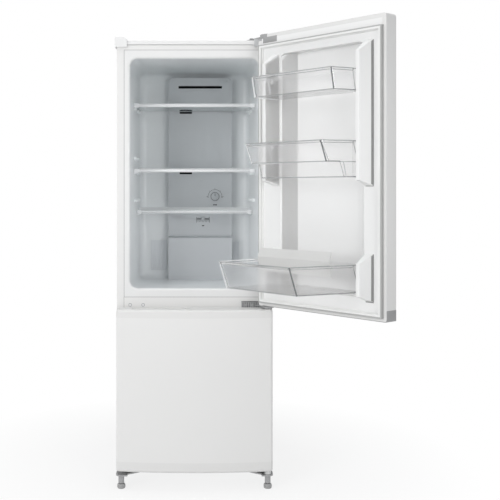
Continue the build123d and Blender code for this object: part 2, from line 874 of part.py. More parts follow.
def gasket_loop(bottom, top):
    """A soft seal: a flat base all round the liner and a narrower bulb that meets the case."""
    middle = (bottom + top) / 2
    height = top - bottom
    base = gasket_height / 3
    bulb_inset = gasket_width / 5
    with BuildPart() as loop:
        with BuildSketch(Plane.XZ.offset(-door_inner)):
            with Locations((0, middle)):
                RectangleRounded(door_width - 2 * gasket_inset, height, gasket_corner)
                Rectangle(
                    door_width - 2 * gasket_inset - 2 * gasket_width,
                    height - 2 * gasket_width,
                    mode=Mode.SUBTRACT,
                )
        extrude(amount=-base)
        with BuildSketch(Plane.XZ.offset(-door_inner - base)):
            with Locations((0, middle)):
                RectangleRounded(
                    door_width - 2 * gasket_inset - 2 * bulb_inset,
                    height - 2 * bulb_inset,
                    gasket_corner - bulb_inset,
                )
                Rectangle(
                    door_width - 2 * gasket_inset - 2 * gasket_width + 2 * bulb_inset,
                    height - 2 * gasket_width + 2 * bulb_inset,
                    mode=Mode.SUBTRACT,
                )
        extrude(amount=-(gasket_height - gasket_gap - base))
    return loop.part


def liner_field(bottom, top, inset):
    """The door liner's flat field, which lies in the plane that carries the gasket."""
    with BuildPart() as field:
        with BuildSketch(Plane.XZ.offset(-door_inner + inset)):
            with Locations((0, (bottom + top) / 2)):
                Rectangle(door_width - 2 * skin_return - 2 * inset, top - bottom - 2 * inset)
        extrude(amount=field_depth - inset)
    return field.part


def recess_block(left, right, bottom, top):
    """A block behind the field that holds the whole of a recess and its wall."""
    margin = 2 * door_liner_wall
    with BuildPart() as block:
        with Locations(((left + right) / 2, door_inner - field_depth, (bottom + top) / 2)):
            Box(
                right - left + 2 * margin,
                recess_depth + margin - field_depth,
                top - bottom + 2 * margin,
                align=(Align.CENTER, Align.MAX, Align.CENTER),
            )
    return block.part


def dyke(outer, side, base, tip, inset):
    """A rib of the door liner. outer is the x of its tip's outer side, side points to the door's middle."""
    root = field_depth
    with BuildPart() as rib:
        with BuildSketch():
            with BuildLine():
                Polyline(
                    (outer - side * dyke_outer_draft, door_inner - root),
                    (outer - side * dyke_outer_draft, door_inner),
                    (outer, door_inner + dyke_height),
                    (outer + side * dyke_tip, door_inner + dyke_height),
                    (outer + side * (dyke_tip + dyke_inner_draft), door_inner),
                    (outer + side * (dyke_tip + dyke_inner_draft), door_inner - root),
                    close=True,
                )
            make_face()
            if inset:
                offset(amount=-inset, kind=Kind.INTERSECTION)
        extrude(amount=base[1])
        with BuildSketch(Plane.YZ):
            with BuildLine():
                Polyline(
                    (door_inner - root, base[0] + inset),
                    (door_inner, base[0] + inset),
                    (door_inner + dyke_height, tip[0] + inset),
                    (door_inner + dyke_height, tip[1] - inset),
                    (door_inner, base[1] - inset),
                    (door_inner - root, base[1] - inset),
                    close=True,
                )
            make_face()
        extrude(amount=door_width, both=True, mode=Mode.INTERSECT)
    return rib.part


def liner_recess(left, right, bottom, top, grow):
    """The hollow between the ribs, with wide concave corners at its sides."""
    floor = door_inner - recess_depth - grow
    mouth = door_inner + 2 * dyke_height
    with BuildPart() as hollow:
        with BuildSketch() as profile:
            with Locations(((left + right) / 2, (floor + mouth) / 2)):
                Rectangle(right - left + 2 * grow, mouth - floor)
            fillet(profile.vertices().sort_by(Axis.Y)[:2], recess_round + grow)
        extrude(amount=top + grow)
        with BuildSketch(Plane.XZ):
            with Locations(((left + right) / 2, (bottom + top) / 2)):
                RectangleRounded(right - left + 2 * grow, top - bottom + 2 * grow, recess_corner + grow)
        extrude(amount=cabinet_depth, both=True, mode=Mode.INTERSECT)
    return hollow.part


recess_left = on_door(free_dyke + dyke_tip + dyke_inner_draft, 0)[0]
recess_right = -on_door(hinge_dyke + dyke_tip + dyke_inner_draft, 0)[0]
free_dyke_x = on_door(free_dyke, 0)[0]
hinge_dyke_x = -on_door(hinge_dyke, 0)[0]


def fridge_ribs(inset):
    """The inside of the fridge door without its recess: a flat field and four ribs, drawn in by inset."""
    with BuildPart() as ribs:
        add(liner_field(fridge_door_bottom + liner_edge, fridge_door_top - liner_edge, inset))
        for base, tip in ((upper_dyke, upper_dyke_tip), (lower_dyke, lower_dyke_tip)):
            add(dyke(free_dyke_x, 1, base, tip, inset))
            add(dyke(hinge_dyke_x, -1, base, tip, inset))
    return ribs.part


freezer_recess_right = freezer_half - 4 * liner_edge
freezer_plug_bottom = freezer_floor + liner_edge
freezer_plug_top = freezer_ceiling - liner_edge


def freezer_plug_form(inset):
    """The inside of the freezer door without its recess: a flat field and a low plug for the opening."""
    with BuildPart() as plug:
        add(liner_field(freezer_door_bottom + liner_edge, freezer_door_top - liner_edge, inset))
        with BuildSketch(Plane.XZ.offset(-door_inner + field_depth)):
            with Locations((0, (freezer_plug_bottom + freezer_plug_top) / 2)):
                RectangleRounded(
                    2 * freezer_half - 2 * liner_edge - 2 * inset,
                    freezer_plug_top - freezer_plug_bottom - 2 * inset,
                    freezer_round,
                )
        extrude(amount=-(freezer_plug + field_depth - inset))
    return plug.part


fridge_recess = (recess_left, recess_right, recess_bottom, recess_top)
freezer_recess = (
    -freezer_recess_right,
    freezer_recess_right,
    freezer_plug_bottom + 2 * liner_edge,
    freezer_plug_top - 2 * liner_edge,
)


def door_liner(form, recess):
    """A thin moulded sheet. form gives the inside of the door, drawn in by the sheet's thickness."""
    with BuildPart() as liner:
        add(form(0))
        add(recess_block(*recess))
        add(liner_recess(*recess, 0), mode=Mode.SUBTRACT)
        with BuildPart(mode=Mode.PRIVATE) as core:
            add(form(door_liner_wall))
            add(recess_block(*recess))
            add(liner_recess(*recess, door_liner_wall), mode=Mode.SUBTRACT)
        add(core.part, mode=Mode.SUBTRACT)
    return liner.part


def bin_lug(side, wall_x, z):
    """A small rest on the inner side of a rib, under a bin's lip. wall_x is the foot of that side."""
    draft_here = dyke_inner_draft * (lug_place + lug_width / 2) / dyke_height
    with BuildPart() as lug:
        with Locations((wall_x + side * (bin_gap - fit_gap), door_inner + lug_place, z)):
            Box(
                bin_gap - fit_gap + draft_here,
                lug_width,
                lug_height,
                align=(Align.MAX if side > 0 else Align.MIN, Align.CENTER, Align.MAX),
            )
    return lug.part


def door_body(bottom, top, form, recess):
    """The foam that fills a door between its painted sheet, its caps and its liner."""
    with BuildPart() as foam:
        with BuildSketch(Plane.XY.offset(bottom)):
            add(door_outline(sheet))
            with Locations((0, door_inner)):
                Rectangle(door_width, field_depth, align=(Align.CENTER, Align.MAX), mode=Mode.SUBTRACT)
        extrude(amount=top - bottom)
        add(form(door_liner_wall))
        add(liner_recess(*recess, door_liner_wall), mode=Mode.SUBTRACT)
    return foam.part


def bush_room(z, toward):
    """The hole that a bush is pressed into. toward is the way its mouth faces."""
    with BuildPart() as room:
        with BuildSketch(Plane.XY.offset(z)):
            with Locations((hinge_x, hinge_y)):
                Circle(bush_radius + fit_gap)
        extrude(amount=-toward * (pin_reach + bush_floor + fit_gap))
    return room.part


def hinge_bush(z, toward):
    """A flanged bush with a blind bore for a hinge pin. toward is the way its flange faces."""
    with BuildPart() as bush:
        with BuildSketch(Plane.XY.offset(z)):
            with Locations((hinge_x, hinge_y)):
                Circle(bush_radius)
        extrude(amount=-toward * (pin_reach + bush_floor))
        with BuildSketch(Plane.XY.offset(z)):
            with Locations((hinge_x, hinge_y)):
                Circle(pin_radius + pin_clearance)
        extrude(amount=-toward * (pin_reach + pin_clearance), mode=Mode.SUBTRACT)
    return bush.part


def bush_flange(z, toward, height):
    """The flange of a bush, which keeps the door off the hinge plate."""
    with BuildPart() as flange:
        with BuildSketch(Plane.XY.offset(z)):
            with Locations((hinge_x, hinge_y)):
                Circle(bush_flange_radius)
                Circle(pin_radius + pin_clearance, mode=Mode.SUBTRACT)
        extrude(amount=toward * height)
    return flange.part


def end_cap(bottom, height, outer_face, hinge_z):
    """A moulded cap that closes one end of a door, with room for the liner's rim and a bush."""
    liner_z = bottom if outer_face > 0 else bottom + liner_edge
    with BuildPart() as cap:
        with BuildSketch(Plane.XY.offset(bottom)):
            add(door_outline(0))
        extrude(amount=height)
        end = cap.faces().sort_by(Axis.Z)[-1 if outer_face > 0 else 0]
        fillet(end.edges().filter_by(Axis.Y), cap_round)
        with Locations((0, door_inner, liner_z)):
            Box(
                door_width - 2 * skin_return,
                field_depth,
                height - liner_edge,
                align=(Align.CENTER, Align.MAX, Align.MIN),
                mode=Mode.SUBTRACT,
            )
        add(bush_room(hinge_z, outer_face), mode=Mode.SUBTRACT)
    return cap.part


# The fridge door is built closed, then its pieces turn open about the hinge's axis.
hinge_axis = Axis((hinge_x, hinge_y, 0), (0, 0, 1))


def opened(part):
    """A piece of the fridge door, turned to where it is stored."""
    return part.rotate(hinge_axis, open_angle)


skin_bottom = fridge_door_bottom + bottom_cap_height
skin_top = fridge_door_top - top_cap_height
hinge_pocket = fridge_door_top - hinge_notch_depth

write(opened(door_skin(skin_bottom, skin_top)), "fridge_door_skin")

with BuildPart() as fridge_door_liner:
    add(door_liner(fridge_ribs, fridge_recess))
    for rim in (top_bin_rim, middle_bin_rim, pocket_rim):
        add(bin_lug(1, recess_left, rim - bin_lip))
        add(bin_lug(-1, recess_right, rim - bin_lip))
write(opened(fridge_door_liner.part), "fridge_door_liner")

with BuildPart() as fridge_door_foam:
    add(door_body(skin_bottom, skin_top, fridge_ribs, fridge_recess))
    add(bush_room(hinge_pocket, 1), mode=Mode.SUBTRACT)
write(opened(fridge_door_foam.part), "fridge_door_foam")

gasket_bottom = fridge_door_bottom + gasket_end_inset
write(opened(gasket_loop(gasket_bottom, case_top - gasket_end_inset)), "fridge_door_gasket")

with BuildPart() as fridge_door_top_cap:
    add(end_cap(skin_top, top_cap_height, 1, hinge_pocket))
    with BuildSketch(Plane.XY.offset(hinge_pocket)):
        with Locations((hinge_x, hinge_y)):
            Circle(hinge_notch)
    extrude(amount=hinge_notch_depth, mode=Mode.SUBTRACT)
write(opened(fridge_door_top_cap.part), "fridge_door_top_cap")

with BuildPart() as fridge_door_bottom_cap:
    add(end_cap(fridge_door_bottom, bottom_cap_height, -1, fridge_door_bottom))
    with Locations((grip_x, door_front + grip_wall, fridge_door_bottom)):
        Box(
            grip_length,
            grip_depth,
            grip_height,
            align=(Align.CENTER, Align.MIN, Align.MIN),
            mode=Mode.SUBTRACT,
        )
write(opened(fridge_door_bottom_cap.part), "fridge_door_bottom_cap")

middle_plate_bottom = freezer_door_top + (door_gap - hinge_plate) / 2
middle_plate_top = middle_plate_bottom + hinge_plate
top_plate_bottom = lid_top

with BuildPart() as fridge_door_bushes:
    add(hinge_bush(hinge_pocket, 1))
    add(bush_flange(hinge_pocket, 1, top_plate_bottom - hinge_pocket - fit_gap))
    add(hinge_bush(fridge_door_bottom, -1))
    add(bush_flange(fridge_door_bottom, -1, fridge_door_bottom - middle_plate_top - fit_gap))
write(opened(fridge_door_bushes.part), "fridge_door_bushes")


# ================================================================ door bins
def bin_plan(free_corner, hinge_corner, front):
    """A bin in plan: its ends stand between the ribs, then its front part draws in."""
    back = door_inner + bin_gap
    left = recess_left + bin_gap
    right = recess_right - bin_gap
    front_left = on_door(free_corner, front)
    front_right = on_door(hinge_corner, front)
    shoulder = door_inner + dyke_height
    with BuildSketch() as plan:
        with BuildLine():
            Polyline(
                (left, back),
                (left, shoulder),
                front_left,
                front_right,
                (right, shoulder),
                (right, back),
                close=True,
            )
        make_face()
        fillet(plan.vertices().sort_by(Axis.Y)[-2:], bin_round)
    return plan.sketch


def bin_form(plan, floor, rim, lean, inset):
    """The outer shape of a bin whose front draws in by lean down to its floor, shrunk by inset."""
    down = Vector(0, -lean, floor - rim)
    with BuildPart() as form:
        with BuildSketch(Plane.XY.offset(rim)):
            add(plan)
            if inset:
                offset(amount=-inset)
        extrude(amount=down.length * (rim - floor - inset) / (rim - floor), dir=down)
        with Locations((0, door_inner + bin_gap + inset, floor)):
            Box(
                door_width,
                cabinet_depth,
                rim - floor,
                align=(Align.CENTER, Align.MIN, Align.MIN),
                mode=Mode.INTERSECT,
            )
    return form.part


def bin_shell(plan, floor, rim, lean):
    """An open-topped clear bin."""
    with BuildPart() as shell:
        add(bin_form(plan, floor, rim, lean, 0))
        add(bin_form(plan, floor, rim, lean, bin_wall), mode=Mode.SUBTRACT)
    return shell.part


def bin_beads(plan, rim):
    """A thicker band round the part of a bin's rim that stands out between the ribs."""
    with BuildPart() as bead:
        with BuildSketch(Plane.XY.offset(rim)):
            add(plan)
            offset(amount=bin_bead)
            with BuildSketch(mode=Mode.PRIVATE) as inside:
                add(plan)
                offset(amount=-bin_wall)
            add(inside.sketch, mode=Mode.SUBTRACT)
            with Locations((0, door_inner + dyke_height)):
                Rectangle(door_width, cabinet_depth, align=(Align.CENTER, Align.MIN), mode=Mode.INTERSECT)
        extrude(amount=-bin_bead_height)
    return bead.part


def bin_lips(rim):
    """The two lips by which a bin hangs on the rests of the door liner."""
    draft_here = dyke_inner_draft * (lug_place - lug_width / 2) / dyke_height
    with BuildPart() as lips:
        for side, wall_x in ((-1, recess_left + bin_gap), (1, recess_right - bin_gap)):
            with Locations((wall_x, door_inner + lug_place, rim)):
                Box(
                    bin_gap + draft_here - fit_gap,
                    lug_width,
                    bin_lip,
                    align=(Align.MAX if side < 0 else Align.MIN, Align.CENTER, Align.MAX),
                )
    return lips.part


top_bin_plan = bin_plan(top_bin_free_corner, bin_hinge_corner, top_bin_front)
with BuildPart() as top_bin:
    add(bin_shell(top_bin_plan, top_bin_floor, top_bin_rim, top_bin_lean))
    add(bin_beads(top_bin_plan, top_bin_rim))
    add(bin_lips(top_bin_rim))
write(opened(top_bin.part), "top_bin")

middle_bin_plan = bin_plan(middle_bin_free_corner, bin_hinge_corner, middle_bin_front)
with BuildPart() as middle_bin:
    with BuildSketch(Plane.XY.offset(middle_bin_well)):
        add(middle_bin_plan)
    extrude(amount=middle_bin_rim - middle_bin_well)
    with BuildSketch(Plane.YZ):
        with BuildLine():
            Polyline(
                (door_inner, middle_bin_well),
                (door_inner + middle_bin_well_front - middle_bin_lean / 2, middle_bin_well),
                (door_inner + middle_bin_well_front, middle_bin_floor),
                (door_inner + middle_bin_front - middle_bin_lean, middle_bin_floor),
                (door_inner + middle_bin_front, middle_bin_rim),
                (door_inner, middle_bin_rim),
                close=True,
            )
        make_face()
    extrude(amount=door_width, both=True, mode=Mode.INTERSECT)
    offset(amount=-bin_wall, openings=middle_bin.faces().sort_by(Axis.Z)[-1])
    add(bin_beads(middle_bin_plan, middle_bin_rim))
    add(bin_lips(middle_bin_rim))
write(opened(middle_bin.part), "middle_bin")

pocket_plan = bin_plan(pocket_free_corner, pocket_hinge_corner, pocket_front)
with BuildPart() as bottle_pocket:
    add(bin_shell(pocket_plan, pocket_floor, pocket_rim, pocket_lean))
    add(bin_beads(pocket_plan, pocket_rim))
    add(bin_lips(pocket_rim))
write(opened(bottle_pocket.part), "bottle_pocket")

# ================================================================ divider of the bottle pocket
def pocket_side_at(d):
    """The inner x of the pocket's slanted free side, d above the door liner."""
    corner_x = on_door(pocket_free_corner, 0)[0]
    share = (d - dyke_height) / (pocket_front - dyke_height)
    return recess_left + bin_gap + share * (corner_x - recess_left - bin_gap) + bin_wall


with BuildPart() as bottle_divider:
    left = pocket_side_at(divider_place) + divider_end_gap
    right = recess_right - bin_gap - bin_wall - divider_end_gap
    middle = door_inner + divider_place
    with BuildSketch(Plane.YZ.offset(left)):
        with BuildLine():
            Polyline(
                (middle - divider_lean, divider_bottom),
                (middle, divider_fold),
                (middle - divider_lean, divider_top),
                (middle - divider_lean - divider_sheet, divider_top),
                (middle - divider_sheet, divider_fold),
                (middle - divider_lean - divider_sheet, divider_bottom),
                close=True,
            )
        make_face()
    extrude(amount=right - left)
    for end, side in ((left, -1), (right, 1)):
        with Locations((end - side * divider_hook_root, middle, pocket_rim)):
            Box(
                divider_end_gap + bin_wall + divider_hook_root,
                divider_hook,
                divider_sheet,
                align=(Align.MAX if side < 0 else Align.MIN, Align.MAX, Align.MIN),
            )
write(opened(bottle_divider.part), "bottle_divider")

# ================================================================ freezer door
freezer_skin_bottom = freezer_door_bottom + bottom_cap_height
freezer_skin_top = freezer_door_top - top_cap_height
write(door_skin(freezer_skin_bottom, freezer_skin_top), "freezer_door_skin")

write(door_liner(freezer_plug_form, freezer_recess), "freezer_door_liner")
write(door_body(freezer_skin_bottom, freezer_skin_top, freezer_plug_form, freezer_recess), "freezer_door_foam")

gasket_bottom = freezer_door_bottom + gasket_end_inset
write(gasket_loop(gasket_bottom, freezer_door_top - gasket_end_inset), "freezer_door_gasket")

with BuildPart() as freezer_door_top_cap:
    add(end_cap(freezer_skin_top, top_cap_height, 1, freezer_door_top))
    with Locations((grip_x, door_front + grip_wall, freezer_door_top)):
        Box(
            grip_length,
            grip_depth,
            grip_height,
            align=(Align.CENTER, Align.MIN, Align.MAX),
            mode=Mode.SUBTRACT,
        )
write(freezer_door_top_cap.part, "freezer_door_top_cap")

with BuildPart() as freezer_door_bottom_cap:
    add(end_cap(freezer_door_bottom, bottom_cap_height, -1, freezer_door_bottom))
write(freezer_door_bottom_cap.part, "freezer_door_bottom_cap")

with BuildPart() as freezer_door_bushes:
    add(hinge_bush(freezer_door_top, 1))
    add(bush_flange(freezer_door_top, 1, middle_plate_bottom - freezer_door_top - fit_gap))
    add(hinge_bush(freezer_door_bottom, -1))
    add(bush_flange(freezer_door_bottom, -1, freezer_door_bottom - case_bottom - fit_gap))
write(freezer_door_bushes.part, "freezer_door_bushes")


# ================================================================ hinges and feet
def hinge_arm(bottom, back, left):
    """A flat steel arm that reaches forward from the case and ends in a round tip about the hinge's axis."""
    right = hinge_x + hinge_tip_radius
    with BuildPart() as arm:
        with BuildSketch(Plane.XY.offset(bottom)):
            with BuildLine():
                Polyline((left, back), (right, back), (right, hinge_y), (hinge_x, hinge_y), close=True)
            make_face()
            with Locations((hinge_x, hinge_y)):
                Circle(hinge_tip_radius)
        extrude(amount=hinge_plate)
    return arm.part


def hinge_pin(start, end):
    """A pin that stands on a hinge plate, with a chamfered end."""
    toward = 1 if end > start else -1
    with BuildPart() as pin:
        with BuildSketch(Plane.XY.offset(start)):
            with Locations((hinge_x, hinge_y)):
                Circle(pin_radius)
        extrude(amount=end - start)
        chamfer(pin.faces().sort_by(Axis.Z)[-1 if toward > 0 else 0].edges(), pin_radius / 4)
    return pin.part


pin_end = pin_reach - fit_gap

with BuildPart() as top_hinge_bracket:
    add(hinge_arm(top_plate_bottom, cabinet_front + bracket_run, hinge_x - bracket_run))
    add(hinge_pin(top_plate_bottom, hinge_pocket - pin_end))
    tab_top = top_plate_bottom + hinge_plate
    with Locations((hinge_x - hinge_tab[0], cabinet_front - lid_overhang - fit_gap, tab_top)):
        Box(
            hinge_tab[0] - hinge_tab[1],
            hinge_tab_sheet,
            hinge_plate + hinge_tab_drop,
            align=(Align.MIN, Align.MAX, Align.MAX),
        )
write(top_hinge_bracket.part, "top_hinge_bracket")

with BuildPart() as top_hinge_cover:
    cover_left = hinge_x - bracket_run - hinge_cover_wall
    cover_right = hinge_x + hinge_tip_radius + hinge_cover_wall
    cover_back = cabinet_front + bracket_run + hinge_cover_wall
    with BuildSketch(Plane.XY.offset(top_plate_bottom + hinge_plate)):
        with BuildLine():
            Polyline(
                (cover_left, cover_back),
                (cover_right, cover_back),
                (cover_right, hinge_y),
                (hinge_x, hinge_y),
                close=True,
            )
        make_face()
        with Locations((hinge_x, hinge_y)):
            Circle(hinge_tip_radius + hinge_cover_wall)
    extrude(amount=hinge_cover_height)
    with BuildSketch(Plane.XY.offset(top_plate_bottom + hinge_plate)):
        with Locations((hinge_x, hinge_y)):
            Circle(hinge_skirt)
    extrude(amount=hinge_cover_height)
    fillet(top_hinge_cover.faces().sort_by(Axis.Z)[-1].edges(), hinge_cover_edge)
    with BuildSketch(Plane.XY.offset(top_plate_bottom + hinge_plate)):
        with Locations((hinge_x, hinge_y)):
            Circle(hinge_skirt)
            Circle(hinge_tip_radius + hinge_skirt_gap, mode=Mode.SUBTRACT)
            Rectangle(
                2 * hinge_skirt,
                hinge_skirt,
                align=(Align.CENTER, Align.MIN),
                mode=Mode.SUBTRACT,
            )
    extrude(amount=-(top_plate_bottom + hinge_plate - fridge_door_top + liner_edge - hinge_skirt_gap))
write(top_hinge_cover.part, "top_hinge_cover")

middle_arm_back = cabinet_front - middle_flange_sheet
with BuildPart() as middle_hinge_bracket:
    add(hinge_arm(middle_plate_bottom, middle_arm_back, hinge_x - 2 * hinge_tip_radius))
    with Locations((case_half - sheet, cabinet_front, (middle_plate_bottom + middle_plate_top) / 2)):
        Box(
            middle_flange_width,
            middle_flange_sheet,
            middle_flange_height,
            align=(Align.MAX, Align.MAX, Align.CENTER),
        )
    add(hinge_pin(middle_plate_top, fridge_door_bottom + pin_end))
    add(hinge_pin(middle_plate_bottom, freezer_door_top - pin_end))
write(middle_hinge_bracket.part, "middle_hinge_bracket")


def foot_bracket():
    """A steel bracket under the case's front corner, with a threaded boss for a levelling foot."""
    plate_bottom = case_bottom - hinge_plate
    boss_bottom = foot_pad_height + foot_gap
    right = case_half - sheet
    with BuildPart() as bracket:
        with BuildSketch(Plane.XY.offset(plate_bottom)):
            with BuildLine():
                Polyline(
                    (right - bracket_width, cabinet_front + bracket_run),
                    (right, cabinet_front + bracket_run),
                    (right, hinge_y),
                    (hinge_x - hinge_tip_radius, hinge_y),
                    (right - bracket_width, cabinet_front),
                    close=True,
                )
            make_face()
            with Locations((hinge_x, hinge_y)):
                Circle(right - hinge_x)
                Rectangle(hinge_tip_radius, right - hinge_x, align=(Align.MAX, Align.MAX))
        extrude(amount=hinge_plate)
        with BuildSketch(Plane.XY.offset(boss_bottom)):
            with Locations((hinge_x, foot_y)):
                Circle(foot_boss_radius)
                Circle(foot_stud_radius + foot_thread_clearance, mode=Mode.SUBTRACT)
        extrude(amount=plate_bottom - boss_bottom)
    return bracket.part


with BuildPart() as lower_hinge_bracket:
    add(foot_bracket())
    add(hinge_pin(case_bottom, freezer_door_bottom + pin_end))
write(lower_hinge_bracket.part, "lower_hinge_bracket")

with BuildPart() as leg_bracket_left:
    add(foot_bracket().mirror(Plane.YZ))
write(leg_bracket_left.part, "leg_bracket_left")

with BuildPart() as foot_right:
    with Locations((hinge_x, foot_y, 0)):
        Cylinder(foot_pad_radius, foot_pad_height, align=(Align.CENTER, Align.CENTER, Align.MIN))
    fillet(foot_right.edges(), foot_pad_round)
    with Locations((hinge_x, foot_y, foot_pad_height)):
        Cylinder(
            foot_stud_radius,
            case_bottom - hinge_plate - fit_gap - foot_pad_height,
            align=(Align.CENTER, Align.CENTER, Align.MIN),
        )
write(foot_right.part, "foot_right")

with BuildPart() as foot_left:
    add(foot_right.part.mirror(Plane.YZ))
write(foot_left.part, "foot_left")

with BuildPart() as rear_feet:
    for side in (-1, 1):
        with Locations((side * rear_foot_x, rear_foot_y, 0)):
            Cone(
                rear_foot_radius,
                rear_foot_top_radius,
                case_bottom,
                align=(Align.CENTER, Align.CENTER, Align.MIN),
            )
write(rear_feet.part, "rear_feet")

with BuildPart() as hinge_screws:
    screw_z = (middle_plate_bottom + middle_plate_top) / 2
    for place in screw_places:
        with BuildSketch(Plane.XZ.offset(-middle_arm_back)):
            with Locations((case_half - middle_flange_width + place, screw_z)):
                RegularPolygon(screw_radius, 6)
        extrude(amount=screw_head)
write(hinge_screws.part, "hinge_screws")

# ================================================================ freezer fittings
for level, rim in drawer_rims.items():
    floor = drawer_floors[level]
    back = freezer_low_back - freezer_round if level == "bottom" else cover_front - loose_gap
    with BuildPart() as drawer:
        with BuildSketch(Plane.XY.offset(floor)):
            with Locations((0, drawer_front)):
                Rectangle(2 * drawer_half, back - drawer_front, align=(Align.CENTER, Align.MIN))
        extrude(amount=rim - floor)
        fillet(drawer.edges().filter_by(Axis.Z), drawer_corner)
        offset(amount=-drawer_wall, openings=drawer.faces().sort_by(Axis.Z)[-1])
        with Locations((0, drawer_front, rim)):
            Box(
                2 * drawer_half + 2 * drawer_lip,
                drawer_front_wall,
                rim - floor - freezer_side_round,
                align=(Align.CENTER, Align.MAX, Align.MAX),
            )
            Box(
                drawer_half,
                drawer_grip_depth,
                drawer_wall,
                align=(Align.CENTER, Align.MAX, Align.MAX),
            )
        for side in (-1, 1):
            with Locations((side * (drawer_half - drawer_wall / 2), drawer_front, rim)):
                Box(
                    drawer_lip + drawer_wall / 2,
                    back - drawer_front - 2 * drawer_lip,
                    bin_lip,
                    align=(Align.MIN if side > 0 else Align.MAX, Align.MIN, Align.MAX),
                )
    write(drawer.part, f"freezer_drawer_{level}")

with BuildPart() as freezer_back_cover:
    with BuildSketch(Plane.XZ.offset(-cover_front)):
        with Locations((0, (freezer_step + freezer_ceiling) / 2)):
            RectangleRounded(
                2 * freezer_half - 2 * cover_gap,
                freezer_ceiling - freezer_step - 2 * cover_gap,
                cover_corner,
            )
    extrude(amount=-cover_wall)
    with BuildSketch(Plane.XZ.offset(-cover_front)):
        with Locations((0, fan_z)):
            Circle(fan_opening)
        with Locations((0, freezer_step + cover_slot_rise)):
            with GridLocations(cover_slot_pitch, 0, cover_slot_count, 1):
                SlotOverall(cover_slot_length, cover_slot_width, rotation=90)
    extrude(amount=-2 * cover_wall, mode=Mode.SUBTRACT)
    with BuildSketch(Plane.XZ.offset(-cover_front)):
        with Locations((0, fan_z)):
            Circle(fan_opening + cover_wall)
            Circle(fan_opening, mode=Mode.SUBTRACT)
    extrude(amount=-(cover_wall + fan_thick))
write(freezer_back_cover.part, "freezer_back_cover")

fan_front = cover_front + cover_wall + fan_gap
fan_back = fan_front + fan_thick
with BuildPart() as fan_blade:
    with BuildSketch(Plane.XZ.offset(-fan_front)):
        with Locations((0, fan_z)):
            Circle(fan_hub_radius)
    extrude(amount=-fan_thick)
    blade_start = fan_hub_radius - fan_blade_root
    for turn in range(fan_blades):
        angle = 360 / fan_blades * turn
        with BuildSketch(
            Plane(
                origin=(
                    blade_start * cos(radians(angle)),
                    (fan_front + fan_back) / 2,
                    fan_z + blade_start * sin(radians(angle)),
                ),
                x_dir=(0, 1, 0),
                z_dir=(cos(radians(angle)), 0, sin(radians(angle))),
            )
        ):
            Rectangle(fan_blade_sheet, fan_blade_width, rotation=fan_blade_turn)
        extrude(amount=fan_radius - blade_start)
    with BuildSketch(Plane.XZ.offset(-fan_back)):
        with Locations((0, fan_z)):
            Circle(motor_shaft_radius + pin_clearance)
    extrude(amount=fan_bore_depth, mode=Mode.SUBTRACT)
write(fan_blade.part, "fan_blade")

with BuildPart() as fan_motor:
    motor_front = fan_back + motor_gap
    with BuildSketch(Plane.XZ.offset(-motor_front)):
        with Locations((0, fan_z)):
            Circle(motor_radius)
    extrude(amount=-motor_length)
    with BuildSketch(Plane.XZ.offset(-motor_front)):
        with Locations((0, fan_z)):
            Circle(motor_shaft_radius)
    extrude(amount=fan_bore_depth)
    with BuildSketch(Plane.XZ.offset(-motor_front - motor_length / 2)):
        with Locations((0, fan_z)):
            Rectangle(2 * fan_opening, motor_strap)
            Rectangle(2 * motor_radius - motor_post_radius, motor_strap, mode=Mode.SUBTRACT)
    extrude(amount=-motor_strap_sheet)
    for side in (-1, 1):
        with BuildSketch(Plane.XZ.offset(-motor_front - motor_length / 2)):
            with Locations((side * (fan_opening - motor_post_radius), fan_z)):
                Circle(motor_post_radius)
        extrude(amount=-(freezer_back - motor_front - motor_length / 2))
write(fan_motor.part, "fan_motor")

evaporator_middle = freezer_back - fit_gap - fin_margin - (evaporator_columns - 1) * evaporator_pitch / 2
evaporator_height = (evaporator_rows - 1) * evaporator_pitch + 2 * fin_margin
with BuildPart() as evaporator:
    with Locations((0, evaporator_middle, evaporator_bottom + evaporator_height / 2)):
        with GridLocations(evaporator_width / fin_count, 0, fin_count, 1):
            Box(fin_sheet, (evaporator_columns - 1) * evaporator_pitch + 2 * fin_margin, evaporator_height)
    tube_places = [
        (
            evaporator_middle + (column - (evaporator_columns - 1) / 2) * evaporator_pitch,
            evaporator_bottom + fin_margin + row * evaporator_pitch,
        )
        for column in range(evaporator_columns)
        for row in range(evaporator_rows)
    ]
    with BuildSketch(Plane.YZ):
        with Locations(*tube_places):
            Circle(evaporator_tube_radius)
    extrude(amount=evaporator_width / 2 + evaporator_tube_past, both=True)
write(evaporator.part, "evaporator")

with BuildPart() as defrost_heater:
    with BuildSketch(Plane.YZ):
        with Locations((evaporator_middle, evaporator_bottom - 2 * heater_radius)):
            Circle(heater_radius)
    extrude(amount=heater_width / 2, both=True)
    leg_height = evaporator_bottom - 3 * heater_radius - freezer_step
    for side in (-1, 1):
        with Locations((side * heater_width / 2, evaporator_middle, freezer_step)):
            Box(
                heater_leg,
                2 * heater_radius,
                leg_height + heater_radius,
                align=(Align.CENTER, Align.CENTER, Align.MIN),
            )
write(defrost_heater.part, "defrost_heater")

# ================================================================ compressor and its niche
with BuildPart() as compressor_tray:
    with Locations((0, niche_front + fit_gap, case_bottom)):
        Box(
            inner_width - 2 * fit_gap,
            machine_room_depth - sheet - 2 * fit_gap,
            tray_sheet,
            align=(Align.CENTER, Align.MIN, Align.MIN),
        )
        Box(
            inner_width - 2 * fit_gap,
            tray_sheet,
            tray_lip,
            align=(Align.CENTER, Align.MIN, Align.MIN),
        )
    with Locations((0, cabinet_back - sheet - fit_gap, case_bottom)):
        Box(
            inner_width - 2 * fit_gap,
            tray_sheet,
            tray_lip,
            align=(Align.CENTER, Align.MAX, Align.MIN),
        )
write(compressor_tray.part, "compressor_tray")

